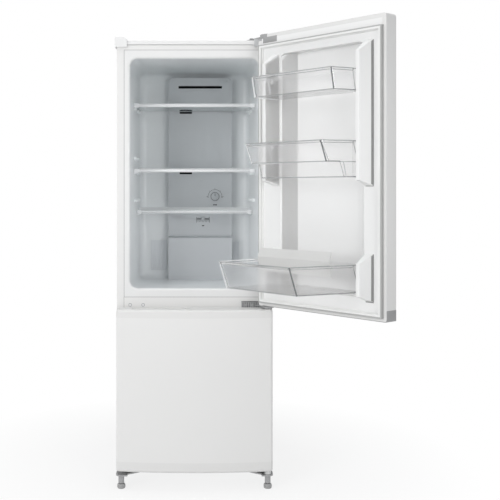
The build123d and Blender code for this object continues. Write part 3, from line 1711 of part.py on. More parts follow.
tray_top = case_bottom + tray_sheet
plate_z = tray_top + grommet_height
foot_grid = (compressor_foot_span, compressor_foot_depth)
with BuildPart() as compressor:
    with Locations((compressor_x, compressor_y, plate_z)):
        Box(
            foot_grid[0] + 2 * grommet_radius,
            foot_grid[1] + 2 * grommet_radius,
            compressor_foot_sheet,
            align=(Align.CENTER, Align.CENTER, Align.MIN),
        )
        Cylinder(compressor_radius, compressor_body, align=(Align.CENTER, Align.CENTER, Align.MIN))
    fillet(compressor.faces().sort_by(Axis.Z)[-1].edges(), compressor_dome)
    with Locations((compressor_x + compressor_radius, compressor_y, plate_z + compressor_body / 2)):
        Box(relay_width, 2 * relay_width, 2 * relay_width, align=(Align.CENTER, Align.CENTER, Align.CENTER))
write(compressor.part, "compressor")

with BuildPart() as compressor_grommets:
    with Locations((compressor_x, compressor_y, tray_top)):
        with GridLocations(foot_grid[0], foot_grid[1], 2, 2):
            Cylinder(grommet_radius, grommet_height, align=(Align.CENTER, Align.CENTER, Align.MIN))
write(compressor_grommets.part, "compressor_grommets")

water_tray_floor = plate_z + compressor_body
with BuildPart() as evaporation_tray:
    with Locations((compressor_x, compressor_y, water_tray_floor)):
        Box(
            2 * water_tray_half,
            2 * water_tray_half,
            water_tray_height,
            align=(Align.CENTER, Align.CENTER, Align.MIN),
        )
    fillet(evaporation_tray.edges().filter_by(Axis.Z), water_tray_corner)
    offset(amount=-water_tray_wall, openings=evaporation_tray.faces().sort_by(Axis.Z)[-1])
write(evaporation_tray.part, "evaporation_tray")
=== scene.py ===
"""A white two-door refrigerator with its fridge door open, dressed for a studio photograph."""

import json
from math import cos, pi, radians, sin

import bmesh
import bpy
from mathutils import Matrix, Vector


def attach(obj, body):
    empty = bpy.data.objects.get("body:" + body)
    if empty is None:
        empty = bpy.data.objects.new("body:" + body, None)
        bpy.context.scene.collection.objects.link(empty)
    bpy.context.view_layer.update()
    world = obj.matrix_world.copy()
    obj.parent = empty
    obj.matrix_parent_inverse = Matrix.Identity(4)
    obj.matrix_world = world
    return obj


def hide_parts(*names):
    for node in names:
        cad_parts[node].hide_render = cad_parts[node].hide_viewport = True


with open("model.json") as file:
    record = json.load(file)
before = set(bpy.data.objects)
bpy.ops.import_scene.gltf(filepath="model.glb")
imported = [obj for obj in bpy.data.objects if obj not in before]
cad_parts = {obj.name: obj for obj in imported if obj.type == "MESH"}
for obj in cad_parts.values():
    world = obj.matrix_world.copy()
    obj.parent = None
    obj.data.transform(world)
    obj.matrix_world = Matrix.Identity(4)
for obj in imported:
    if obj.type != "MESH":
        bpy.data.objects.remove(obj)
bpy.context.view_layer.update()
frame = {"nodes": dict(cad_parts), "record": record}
nodes = frame["nodes"]


# ---------------------------------------------------------------- shared effects for the finishes
def new_group(name, inputs, outputs):
    """An empty shader group with named sockets, and its two end nodes."""
    group = bpy.data.node_groups.new(name, "ShaderNodeTree")
    for label, kind, value in inputs:
        socket = group.interface.new_socket(name=label, in_out="INPUT", socket_type=kind)
        socket.default_value = value
    for label, kind in outputs:
        group.interface.new_socket(name=label, in_out="OUTPUT", socket_type=kind)
    return group, group.nodes.new("NodeGroupInput"), group.nodes.new("NodeGroupOutput")


def tone_drift_group():
    """A colour that wanders slightly lighter and darker in large soft patches."""
    group, start, end = new_group(
        "tone drift",
        [
            ("Colour", "NodeSocketColor", (0.8, 0.8, 0.8, 1)),
            ("Patch Scale", "NodeSocketFloat", 3.0),
            ("Amount", "NodeSocketFloat", 0.04),
            ("Speck Scale", "NodeSocketFloat", 160.0),
            ("Speck Amount", "NodeSocketFloat", 0.01),
        ],
        [("Colour", "NodeSocketColor")],
    )
    place = group.nodes.new("ShaderNodeTexCoord")
    shade = None
    for scale, amount, detail in (("Patch Scale", "Amount", 4), ("Speck Scale", "Speck Amount", 2)):
        noise = group.nodes.new("ShaderNodeTexNoise")
        noise.inputs["Detail"].default_value = detail
        group.links.new(place.outputs["Object"], noise.inputs["Vector"])
        group.links.new(start.outputs[scale], noise.inputs["Scale"])
        centred = group.nodes.new("ShaderNodeMath")
        centred.operation = "SUBTRACT"
        centred.inputs[1].default_value = 0.5
        group.links.new(noise.outputs["Fac"], centred.inputs[0])
        gain = group.nodes.new("ShaderNodeMath")
        gain.operation = "MULTIPLY_ADD"
        group.links.new(centred.outputs[0], gain.inputs[0])
        group.links.new(start.outputs[amount], gain.inputs[1])
        if shade is None:
            gain.inputs[2].default_value = 1.0
        else:
            group.links.new(shade, gain.inputs[2])
        shade = gain.outputs[0]
    scaled = group.nodes.new("ShaderNodeVectorMath")
    scaled.operation = "SCALE"
    group.links.new(start.outputs["Colour"], scaled.inputs[0])
    group.links.new(shade, scaled.inputs["Scale"])
    group.links.new(scaled.outputs[0], end.inputs["Colour"])
    return group


def skin_relief_group():
    """The height of a moulded or sprayed surface: a slow wave and a fine grain."""
    group, start, end = new_group(
        "skin relief",
        [
            ("Wave Scale", "NodeSocketFloat", 12.0),
            ("Wave", "NodeSocketFloat", 0.5),
            ("Grain Scale", "NodeSocketFloat", 900.0),
            ("Grain", "NodeSocketFloat", 0.5),
        ],
        [("Height", "NodeSocketFloat")],
    )
    place = group.nodes.new("ShaderNodeTexCoord")
    total = None
    for scale, amount in (("Wave Scale", "Wave"), ("Grain Scale", "Grain")):
        noise = group.nodes.new("ShaderNodeTexNoise")
        noise.inputs["Detail"].default_value = 1.0
        group.links.new(place.outputs["Object"], noise.inputs["Vector"])
        group.links.new(start.outputs[scale], noise.inputs["Scale"])
        gain = group.nodes.new("ShaderNodeMath")
        gain.operation = "MULTIPLY_ADD"
        group.links.new(noise.outputs["Fac"], gain.inputs[0])
        group.links.new(start.outputs[amount], gain.inputs[1])
        if total is None:
            gain.inputs[2].default_value = 0.0
        else:
            group.links.new(total, gain.inputs[2])
        total = gain.outputs[0]
    group.links.new(total, end.inputs["Height"])
    return group


tone_drift = tone_drift_group()
skin_relief = skin_relief_group()


def use_group(material, group, **values):
    """A group placed in a material, with its own values; an underscore stands for a space."""
    node = material.node_tree.nodes.new("ShaderNodeGroup")
    node.node_tree = group
    for label, value in values.items():
        node.inputs[label.replace("_", " ")].default_value = value
    return node


def finish(
    name,
    colour,
    roughness,
    metallic=0.0,
    coat=0.0,
    drift=0.012,
    patch=3.0,
    speck=0.006,
    speck_scale=160.0,
    wave=0.3,
    wave_scale=12.0,
    grain=0.3,
    grain_scale=900.0,
    relief=0.0004,
    rub=0.025,
    transmission=0.0,
    ior=1.5,
):
    """A material with its own wandering tone, rubbed roughness and relief."""
    material = bpy.data.materials.new(name)
    material.use_nodes = True
    tree = material.node_tree
    shader = tree.nodes["Principled BSDF"]
    shader.inputs["Metallic"].default_value = metallic
    shader.inputs["IOR"].default_value = ior
    shader.inputs["Coat Weight"].default_value = coat
    shader.inputs["Coat Roughness"].default_value = 0.05
    shader.inputs["Transmission Weight"].default_value = transmission
    tone = use_group(
        material,
        tone_drift,
        Colour=(*colour, 1),
        Patch_Scale=patch,
        Amount=drift,
        Speck_Scale=speck_scale,
        Speck_Amount=speck,
    )
    tree.links.new(tone.outputs["Colour"], shader.inputs["Base Color"])
    place = tree.nodes.new("ShaderNodeTexCoord")
    smear = tree.nodes.new("ShaderNodeTexNoise")
    smear.inputs["Scale"].default_value = 7.0
    smear.inputs["Detail"].default_value = 3.0
    tree.links.new(place.outputs["Object"], smear.inputs["Vector"])
    level = tree.nodes.new("ShaderNodeMapRange")
    level.inputs["From Min"].default_value = 0.3
    level.inputs["From Max"].default_value = 0.7
    level.inputs["To Min"].default_value = max(roughness - rub, 0.02)
    level.inputs["To Max"].default_value = min(roughness + rub, 1.0)
    tree.links.new(smear.outputs["Fac"], level.inputs["Value"])
    tree.links.new(level.outputs["Result"], shader.inputs["Roughness"])
    surface = use_group(
        material, skin_relief, Wave_Scale=wave_scale, Wave=wave, Grain_Scale=grain_scale, Grain=grain
    )
    bump = tree.nodes.new("ShaderNodeBump")
    bump.inputs["Strength"].default_value = 0.5
    bump.inputs["Distance"].default_value = relief
    tree.links.new(surface.outputs["Height"], bump.inputs["Height"])
    tree.links.new(bump.outputs["Normal"], shader.inputs["Normal"])
    if transmission:
        let_light_through(tree, shader, transmission)
    return material


def let_light_through(tree, shader, share):
    """Light passes a see-through wall on its way to what stands behind it, less what the wall reflects."""
    kept = 0.93
    path = tree.nodes.new("ShaderNodeLightPath")
    passed = tree.nodes.new("ShaderNodeMath")
    passed.operation = "MULTIPLY"
    passed.inputs[1].default_value = kept * share
    clear = tree.nodes.new("ShaderNodeBsdfTransparent")
    mix = tree.nodes.new("ShaderNodeMixShader")
    tree.links.new(path.outputs["Is Shadow Ray"], passed.inputs[0])
    tree.links.new(passed.outputs[0], mix.inputs["Fac"])
    tree.links.new(shader.outputs[0], mix.inputs[1])
    tree.links.new(clear.outputs[0], mix.inputs[2])
    tree.links.new(mix.outputs[0], tree.nodes["Material Output"].inputs["Surface"])


# ---------------------------------------------------------------- finishes
even_enamel = {"relief": 0.0002, "drift": 0.004, "speck": 0.003, "rub": 0.004}
enamel = finish("white enamel on steel", (0.80, 0.795, 0.785), 0.3, coat=0.15, **even_enamel)
# A darker copy of the white enamel: painted shade for the upper door, whose side faces turn away from the key
# light.
shaded_door_enamel = finish("white enamel of the upper door, painted darker for shade", (0.77, 0.765, 0.755), 0.3, coat=0.1, **even_enamel)
lid_white = finish("white lid plastic", (0.80, 0.80, 0.795), 0.4, grain=0.5, grain_scale=1400)
zinc = finish("zinc coated steel", (0.62, 0.63, 0.64), 0.4, metallic=1.0, drift=0.12, patch=60, speck=0.05)
foam = finish("pale rigid foam", (0.80, 0.72, 0.48), 0.85, drift=0.1, patch=14, grain=1.0, relief=0.001)
# The liner's pale colour is painted light: it makes the inside walls brighter than the sheet's own white,
# which the flange keeps.
liner = finish("thermoformed liner", (0.92, 0.94, 0.95), 0.3, coat=0.1, wave_scale=5, relief=0.0006)
door_liner = finish(
    "thermoformed door liner", (0.85, 0.85, 0.845), 0.45, wave_scale=5, relief=0.0004, rub=0.01
)
cover = finish("air duct cover plastic", (0.64, 0.66, 0.68), 0.45, grain=0.6, grain_scale=1200)
aluminium = finish("rolled aluminium", (0.80, 0.81, 0.82), 0.32, metallic=1.0, drift=0.05)
heater_metal = finish("heater sheath", (0.42, 0.42, 0.43), 0.4, metallic=1.0)
black_plastic = finish("black moulded plastic", (0.035, 0.035, 0.038), 0.5, drift=0.1)
black_paint = finish("black baked paint", (0.025, 0.025, 0.028), 0.35, drift=0.15, relief=0.0006)
black_rubber = finish("black rubber", (0.03, 0.03, 0.03), 0.75, drift=0.12)
drawer = finish("cloudy drawer plastic", (0.90, 0.93, 0.95), 0.25, transmission=0.85, ior=1.49)
hinge_steel = finish("dark plated steel", (0.40, 0.40, 0.405), 0.42, metallic=0.5, drift=0.12, patch=30)
gray_plastic = finish("gray hinge cover plastic", (0.36, 0.36, 0.36), 0.45)
foot_plastic = finish("gray foot plastic", (0.42, 0.42, 0.42), 0.5)
even_clear = {"transmission": 1.0, "drift": 0.0, "speck": 0.0}
clear_plastic = finish("clear bin plastic", (0.975, 0.975, 0.977), 0.06, ior=1.49, rub=0.02, **even_clear)
frosted_plastic = finish("frosted divider plastic", (0.80, 0.80, 0.79), 0.35, transmission=0.4, ior=1.45)
gasket_rubber = finish("soft white gasket", (0.82, 0.82, 0.81), 0.6)
cap_plastic = finish("door cap plastic", (0.76, 0.755, 0.745), 0.4)
shelf_glass = finish("shelf glass", (0.90, 0.97, 0.97), 0.03, rub=0.01, relief=0.0001, **even_clear)
trim_plastic = finish("shelf trim plastic", (0.86, 0.87, 0.88), 0.22, coat=0.3)

# Finishes of the pieces that only this script has.
# Painted shade: the door seal's outer side, which turns away from the key light, is painted gray.
painted_seal_shade = finish("painted shade on the door seal's outer side", (0.44, 0.44, 0.435), 0.65, relief=0.0003)
# Painted shade at the foot of the door's ribs and under their lower ends.
painted_rib_shade = finish("painted shade at a rib's foot", (0.3, 0.3, 0.3), 0.7)
# Painted highlight on the clear bins' ends by the hinge.
bin_end_painted_highlight = finish("painted highlight on a clear end", (0.9, 0.9, 0.91), 0.25, coat=0.3)
# Painted shade: a near-black box behind each slot of the duct cover, where the duct behind lies in deep
# shade.
painted_slot_shade = finish("painted shade inside a duct slot", (0.004, 0.004, 0.005), 0.9, drift=0.3)
print_gray = finish("printed gray ink", (0.05, 0.052, 0.06), 0.6)
bezel_gray = finish("gray dial bezel", (0.26, 0.27, 0.29), 0.5)
vent_gray = finish("gray vent plastic", (0.84, 0.86, 0.88), 0.5)
seam_gray = finish("gray seam shadow", (0.36, 0.36, 0.36), 0.7)
# Painted shade along the clear bins' rims, bands and floors, darker at their corners, where their clear edges
# bend the light.
bin_edge_painted_shade = finish("painted shade on a clear rim", (0.42, 0.425, 0.43), 0.3, coat=0.2)
bin_corner_painted_shade = finish("painted shade on a clear corner", (0.15, 0.155, 0.16), 0.25, coat=0.3)
copper = finish("dull copper pipe", (0.62, 0.33, 0.2), 0.38, metallic=1.0, drift=0.15, patch=40)
plated_steel = finish("bright plated steel", (0.66, 0.665, 0.67), 0.4, metallic=0.4, drift=0.06, patch=40)

finish_of_slot = {
    "white_paint": enamel,
    "white_lid": lid_white,
    "galvanised": zinc,
    "foam": foam,
    "liner_plastic": liner,
    "cover_plastic": cover,
    "aluminium": aluminium,
    "heater_metal": heater_metal,
    "black_plastic": black_plastic,
    "drawer_plastic": drawer,
    "black_paint": black_paint,
    "black_rubber": black_rubber,
    "hinge_steel": hinge_steel,
    "gray_plastic": gray_plastic,
    "foot_plastic": foot_plastic,
    "clear_plastic": clear_plastic,
    "frosted_plastic": frosted_plastic,
    "gasket_rubber": gasket_rubber,
    "cap_plastic": cap_plastic,
    "shelf_glass": shelf_glass,
    "trim_plastic": trim_plastic,
}


def paint_light_on_liner_walls(material, flange_colour, flange_y, wall_y):
    """The liner's walls keep its pale colour, painted light that brightens the inside; its flat flange by the
    mouth takes the plain white of the case.
    """
    tree = material.node_tree
    shader = tree.nodes["Principled BSDF"]
    # the liner's pale wall colour, painted light
    drawn = shader.inputs["Base Color"].links[0].from_socket
    place = tree.nodes.new("ShaderNodeTexCoord")
    split = tree.nodes.new("ShaderNodeSeparateXYZ")
    tree.links.new(place.outputs["Object"], split.inputs[0])
    depth = tree.nodes.new("ShaderNodeMapRange")
    depth.inputs["From Min"].default_value = flange_y
    depth.inputs["From Max"].default_value = wall_y
    tree.links.new(split.outputs["Y"], depth.inputs["Value"])
    mix = tree.nodes.new("ShaderNodeMix")
    mix.data_type = "RGBA"
    mix.inputs["A"].default_value = (*flange_colour, 1)
    tree.links.new(depth.outputs["Result"], mix.inputs["Factor"])
    tree.links.new(drawn, mix.inputs["B"])
    tree.links.new(mix.outputs["Result"], shader.inputs["Base Color"])


# The walls inside the liner are paler than its flange: painted light.
paint_light_on_liner_walls(liner, (0.80, 0.80, 0.795), flange_y=-0.249, wall_y=-0.236)
for part in frame["record"]["subparts"]:
    node = nodes[part["node"]]
    node.data.materials.clear()
    node.data.materials.append(finish_of_slot[part["material_slot"]])
for name in ("fridge_door_liner", "freezer_door_liner"):
    nodes[name].data.materials[0] = door_liner
nodes["top_hinge_bracket"].data.materials[0] = plated_steel
# The upper door's skin takes the darker copy of the enamel, painted shade.
nodes["fridge_door_skin"].data.materials[0] = shaded_door_enamel


# ---------------------------------------------------------------- ways to make a piece
hinge_axis = Vector((228, -288, 0)) / 1000
open_angle = 131  # the fridge door as it is stored; its pieces are drawn closed and turned by this
door_turn = (
    Matrix.Translation(hinge_axis)
    @ Matrix.Rotation(radians(open_angle), 4, "Z")
    @ Matrix.Translation(-hinge_axis)
)
stay = Matrix.Identity(4)


def mm(x, y, z):
    """A place given in millimetres."""
    return Vector((x, y, z)) / 1000


def put(name, form, material, body, turn=stay, soft=40):
    """A finished piece from a bmesh, turned into place, that rides on a body; soft is in degrees."""
    bmesh.ops.transform(form, matrix=turn, verts=form.verts)
    bmesh.ops.recalc_face_normals(form, faces=form.faces)
    mesh = bpy.data.meshes.new(name)
    form.to_mesh(mesh)
    form.free()
    for face in mesh.polygons:
        face.use_smooth = True
    mesh.set_sharp_from_angle(angle=radians(soft))
    mesh.materials.append(material)
    piece = bpy.data.objects.new(name, mesh)
    bpy.context.scene.collection.objects.link(piece)
    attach(piece, body)
    return piece


def slab(form, low, high, edge=0.0, steps=2):
    """A block between two corners in millimetres, with rounded edges."""
    low, high = mm(*low), mm(*high)
    size = Matrix.Diagonal((*(high - low), 1))
    made = bmesh.ops.create_cube(form, size=1, matrix=Matrix.Translation((low + high) / 2) @ size)
    if edge:
        edges = list({line for corner in made["verts"] for line in corner.link_edges})
        bmesh.ops.bevel(
            form, geom=edges, offset=edge / 1000, affect="EDGES", segments=steps, profile=0.5, material=-1
        )
    return made


def stub(form, start, end, radius, end_radius=None, sides=32):
    """A round rod or cone between two places in millimetres."""
    start, end = mm(*start), mm(*end)
    along = end - start
    turn = along.to_track_quat("Z", "Y").to_matrix().to_4x4()
    return bmesh.ops.create_cone(
        form,
        cap_ends=True,
        segments=sides,
        radius1=radius / 1000,
        radius2=(radius if end_radius is None else end_radius) / 1000,
        depth=along.length,
        matrix=Matrix.Translation((start + end) / 2) @ turn,
    )


def hollow(form, low, high, wall, depth):
    """A block whose face towards the front is sunk inside a rim."""
    slab(form, low, high)
    form.normal_update()
    front = min(form.faces, key=lambda face: face.calc_center_median().y)
    bmesh.ops.inset_individual(form, faces=[front], thickness=wall / 1000, use_even_offset=True)
    moved = bmesh.ops.extrude_face_region(form, geom=[front])["geom"]
    form.faces.remove(front)
    corners = [item for item in moved if isinstance(item, bmesh.types.BMVert)]
    bmesh.ops.translate(form, verts=corners, vec=mm(0, depth, 0))


def rods(name, runs, radius, material, body, turn=stay, smooth=False, sides=3):
    """Round rods along open runs of places in millimetres, as one piece."""
    line = bpy.data.curves.new(name, "CURVE")
    line.dimensions = "3D"
    line.bevel_depth = radius / 1000
    line.bevel_resolution = sides
    line.use_fill_caps = True
    for run in runs:
        spline = line.splines.new("NURBS" if smooth else "POLY")
        spline.points.add(len(run) - 1)
        for point, place in zip(spline.points, run):
            point.co = (*mm(*place), 1)
        if smooth:
            spline.order_u = 3
            spline.use_endpoint_u = True
            spline.resolution_u = 10
    carrier = bpy.data.objects.new(name + "_line", line)
    bpy.context.scene.collection.objects.link(carrier)
    bpy.context.view_layer.update()
    mesh = bpy.data.meshes.new_from_object(carrier.evaluated_get(bpy.context.evaluated_depsgraph_get()))
    bpy.data.objects.remove(carrier)
    form = bmesh.new()
    form.from_mesh(mesh)
    bpy.data.meshes.remove(mesh)
    bmesh.ops.remove_doubles(form, verts=form.verts, dist=1e-6)
    return put(name, form, material, body, turn)


def frame_sweep(form, half_width, bottom, top, profile, plane_y):
    """A mitred frame in an upright plane: profile gives (inward from the edge, towards +Y)."""
    corners = ((-1, "low"), (1, "low"), (1, "high"), (-1, "high"))

    def place(corner, inward, stand):
        side, end = corner
        z = top - inward if end == "high" else bottom + inward
        return mm(side * (half_width - inward), plane_y + stand, z)

    start = [form.verts.new(place(corners[0], *point)) for point in profile]
    edges = [form.edges.new(pair) for pair in zip(start, start[1:] + start[:1])]
    for corner in (*corners[1:], corners[0]):
        made = bmesh.ops.extrude_edge_only(form, edges=edges)["geom"]
        edges = [item for item in made if isinstance(item, bmesh.types.BMEdge)]
        fresh = [item for item in made if isinstance(item, bmesh.types.BMVert)]
        for vertex, point in zip(fresh, profile):
            vertex.co = place(corner, *point)
    bmesh.ops.remove_doubles(form, verts=form.verts, dist=1e-6)


# ---------------------------------------------------------------- planes that pieces share, in millimetres
door_inner = -262  # the rims of both doors' insides, when closed
case_front = -250
case_back = 250
duct_front = 110  # the face of the air duct cover

# ---------------------------------------------------------------- door seals
# The seal's section: a foot on the door, a narrow waist and a hollow cushion that meets the case.
# Each point is (inward from the seal's outer edge, out from the door).
seal_profile = (
    (1.0, 0.0),
    (0.0, 1.0),
    (0.0, 2.6),
    (1.8, 3.4),
    (1.8, 5.4),
    (0.4, 6.4),
    (0.4, 10.6),
    (1.2, 11.4),
    (4.4, 11.4),
    (9.6, 11.4),
    (10.4, 10.6),
    (10.4, 7.4),
    (8.6, 6.2),
    (8.6, 4.4),
    (12.6, 3.2),
    (13.4, 1.2),
    (12.8, 0.0),
)
seal_half_width = 233.5
seal_margin = 1  # from the liner's lower and upper ends
shaded_width = 3.2  # the strip along the seal's outer edge that is painted with shade, where its outer side lies in shade
shaded_from = 1.0  # out from the door
for door, low, high, turn in (("fridge", 580, 1377, door_turn), ("freezer", 67, 551, stay)):
    bottom, top = low + seal_margin, high - seal_margin
    seal = bmesh.new()
    frame_sweep(seal, seal_half_width, bottom, top, seal_profile, door_inner)
    piece = put(f"{door}_door_seal", seal, gasket_rubber, f"{door}_door", turn, 25)
    # The faces along the seal's outer side take the painted shade.
    piece.data.materials.append(painted_seal_shade)
    for face in piece.data.polygons:
        place = turn.inverted() @ face.center * 1000
        inward = min(seal_half_width - abs(place.x), place.z - bottom, top - place.z)
        if inward < shaded_width and place.y - door_inner > shaded_from:
            face.material_index = 1
    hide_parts(f"{door}_door_gasket")

# ---------------------------------------------------------------- air duct: painted shade in the slots, dial scale, vents
slot_rim = 6  # the dark box reaches this far past its slot, under the cover
slot_front, slot_back = 112.7, 134
# Each slot gets a near-black box behind it, painted shade for the dark duct.
for name, left, right, z in (
    ("long", -57, 98, 1294),
    ("top_short", -53, -9, 1203),
    ("middle_short", -53, -9, 988),
):
    box = bmesh.new()
    low, high = (left - slot_rim, slot_front, z - 10), (right + slot_rim, slot_back, z + 10)
    hollow(box, low, high, wall=3, depth=18)
    put(f"{name}_slot_shade_box", box, painted_slot_shade, "cabinet")


def ring(form, centre, radius, width, thick, start=0.0, sweep=360.0, steps=48):
    """A flat band about an axis that points to the front, as a full ring or an arc."""
    x, y, z = centre
    outer = radius + width
    section_places = [(radius, 0), (outer, 0), (outer, -thick), (radius, -thick)]
    turn = Matrix.Rotation(radians(start), 3, "Y")
    section = [form.verts.new(mm(x, y, z) + turn @ mm(across, out, 0)) for across, out in section_places]
    face = form.faces.new(section)
    full = sweep >= 360
    bmesh.ops.spin(
        form,
        geom=[face, *face.edges, *face.verts],
        cent=mm(x, y, z),
        axis=(0, 1, 0),
        angle=radians(sweep),
        steps=steps,
        use_merge=full,
    )
    if full and face.is_valid:
        form.faces.remove(face)


ink = 0.4  # how far a printed mark stands off the cover
ink_edge = 0.15


def mark(form, left, right, low, high):
    """A printed mark on the face of the duct cover."""
    slab(form, (left, duct_front - ink, low), (right, duct_front, high), ink_edge, 1)


dial_x, dial_z = 73, 905
dial_place = (dial_x, duct_front, dial_z)
arc_radius, arc_width = 24.2, 1.0
tick_from, short_tick_to, long_tick_to = 26.4, 29.0, 30.5
scale = bmesh.new()
ring(scale, dial_place, arc_radius, arc_width, ink, start=180, sweep=180, steps=36)
for angle in (0, 45, 90, 135, 180):
    tick_to = short_tick_to if angle % 90 else long_tick_to
    tick = bmesh.new()
    slab(tick, (tick_from, -ink, -0.5), (tick_to, 0, 0.5), ink_edge, 1)
    spot = Matrix.Translation(mm(*dial_place)) @ Matrix.Rotation(radians(-angle), 4, "Y")
    bmesh.ops.transform(tick, matrix=spot, verts=tick.verts)
    loose = bpy.data.meshes.new("tick")
    tick.to_mesh(loose)
    tick.free()
    scale.from_mesh(loose)
    bpy.data.meshes.remove(loose)
arrow_reach, arrow_drop, arrow_size = 24.7, 2, 2.6
for side in (-1, 1):
    x, z = dial_x + side * arrow_reach, dial_z - arrow_drop
    stub(scale, (x, duct_front - ink, z), (x, duct_front, z), arrow_size, sides=3)
mark(scale, 66.5, 72.2, 873.5, 877.5)
mark(scale, 73.8, 79.5, 873.5, 877.5)
# The slider's scale: a line between two bars that stay clear of the knob's ends, and three marks.
bar_places = (7, 53)
for x in bar_places:
    mark(scale, x - 0.6, x + 0.6, 812, 832)
mark(scale, *bar_places, 817.4, 818.6)
for x in (19, 30, 41):
    mark(scale, x - 0.5, x + 0.5, 813.5, 818)
mark(scale, 26.5, 34.5, 799.5, 803)
put("control_scales", scale, print_gray, "cabinet")

bezel = bmesh.new()
ring(bezel, dial_place, radius=13.6, width=2.2, thick=1.4)
put("dial_bezel", bezel, bezel_gray, "cabinet")
pointer = bmesh.new()
slab(pointer, (72.2, 97.2, 906), (73.8, 98.2, 916), 0.3, 1)
put("dial_pointer", pointer, print_gray, "temperature_dial")

vent_bottom, vent_rim = 640, 3
bar_pitch, bar_width = 8, 3
for name, left, right, top in (("left", -157, -100, 748), ("right", 139, 160, 742)):
    vent = bmesh.new()
    hollow(vent, (left, 143.5, vent_bottom), (right, 147.4, top), vent_rim, depth=2)
    for i in range((right - left - 10) // bar_pitch):
        x = left + 7 + i * bar_pitch
        slab(vent, (x, 144.2, vent_bottom + 6), (x + bar_width, 146.5, top - 6), 0.6, 1)
    put(f"{name}_return_vent", vent, vent_gray, "cabinet")
for x, z in ((25, 958), (-76, 1318), (117, 1318)):
    button = bmesh.new()
    stub(button, (x, duct_front - 0.8, z), (x, duct_front, z), 4.2, 4.8)
    put(f"cover_button_{x}".replace("-", "m"), button, cover, "cabinet")

# ---------------------------------------------------------------- shelves' end clips and mouth seam
clip_width, clip_depth, clip_half_height = 15, 16, 7
rear_clip_width, rear_clip_inset = 9, 7
rear_clip_from, rear_clip_to = 92.5, 98.4
for level, front, half, z in (
    ("top", -125, 199.1, 1207),
    ("middle", -125, 199.1, 992),
    ("low", -2, 196.8, 853),
):
    clips = bmesh.new()
    for side in (-1, 1):
        low, high = sorted((side * (half + 0.4), side * (half - clip_width)))
        base, top = z - clip_half_height, z + clip_half_height
        slab(clips, (low, front - 1.4, base), (high, front + clip_depth, top), 1.6, 3)
        slab(clips, (low + 3, front - 2.2, z - 3.5), (high - 3, front - 1, z + 3.5), 0.5, 2)
        rear = half - rear_clip_inset
        low, high = sorted((side * rear, side * (rear - rear_clip_width)))
        slab(clips, (low, rear_clip_from, z - 4), (high, rear_clip_to, z + 15), 1.2, 2)
    put(f"shelf_{level}_clips", clips, trim_plastic, f"shelf_{level}")
    line = bmesh.new()
    end = half - clip_width - 1
    for low, high in ((-2.2, -1.4), (3.4, 4.0)):
        slab(line, (-end, front - 0.5, z + low), (end, front + 0.5, z + high), 0.2, 1)
    put(f"shelf_{level}_trim_lines", line, seam_gray, f"shelf_{level}")

seam = bmesh.new()
seam_profile = ((0, -0.35), (1.3, -0.35), (1.3, 0.4), (0, 0.4))
frame_sweep(seam, 222.7, 590.3, 1370.7, seam_profile, case_front)
for x in (-222.5, 222.5):
    slab(seam, (x - 0.6, case_front - 0.4, 541), (x + 0.6, case_front + 0.5, 591), 0.15, 1)
put("mouth_seam", seam, seam_gray, "cabinet")
plug_height = 566
for x in (-203, -162):
    halo = bmesh.new()
    ring(halo, (x, case_front, plug_height), radius=4.1, width=1.1, thick=0.5)
    put(f"plug_ring_{-x}", halo, bezel_gray, "cabinet")

# ---------------------------------------------------------------- door bins: painted shade along the rims and corners, painted highlight on the hinge ends
bin_left, bin_right = -168, 150
bin_back, bin_shoulder = -260, -210
band_drop = 6  # from a bin's rim to the foot of its rim band


def bin_runs(corner_left, corner_right, front, lean, rim, floor):
    """The runs along a bin's rim, the foot of its rim band and its floor, from the free side to the hinge."""
    plan = (
        (bin_left, bin_back),
        (bin_left, bin_shoulder),
        (corner_left, front),
        (corner_right, front),
        (bin_right, bin_shoulder),
        (bin_right, bin_back),
    )
    top = [(x, y, rim) for x, y in plan]
    band = [(x, y - 1.5 if y == front else y, rim - band_drop) for x, y in plan]
    low = [(x, max(y - lean, bin_back), floor) for x, y in plan]
    return top, band, low


bins = {
    "top_bin": (-150, 150, -142, 12, 1260, 1201),
    "middle_bin": (-135, 150, -117, 24, 1063, 1006),
    "bottle_pocket": (-109, 162, -22, 30, 724, 647),
}
for name, sizes in bins.items():
    top, band, low = bin_runs(*sizes)
    free_shoulder, corner, hinge_corner, hinge_shoulder = ([top[i], low[i]] for i in (1, 2, 3, 4))
    ends = [top[3:], band[3:5], low[3:], hinge_corner, hinge_shoulder]
    # The gray and near-black rods are painted shade along the clear edges; the white rods at the hinge end
    # are a painted highlight.
    for part_name, runs, radius, material in (
        ("rim", [top[:4]], 1.5, bin_edge_painted_shade),
        ("band", [band[1:4], free_shoulder], 0.9, bin_edge_painted_shade),
        ("corner", [corner], 2.0, bin_corner_painted_shade),
        ("foot", [low[:4]], 1.1, bin_edge_painted_shade),
        ("hinge_end", ends, 1.5, bin_end_painted_highlight),
    ):
        rods(f"{name}_{part_name}", runs, radius, material, name, door_turn)
# The middle bin's well is outlined with the same painted shade.
well_front, well_floor = -184, 964
well = [
    (bin_left, bin_back, well_floor),
    (bin_left, well_front, well_floor),
    (bin_right, well_front, well_floor),
    (bin_right, bin_back, well_floor),
]
fall = [[(x, well_front, well_floor), (x, well_front + 12, 1006)] for x in (bin_left, bin_right)]
rods("middle_bin_well", [well, *fall], 1.2, bin_edge_painted_shade, "middle_bin", door_turn)

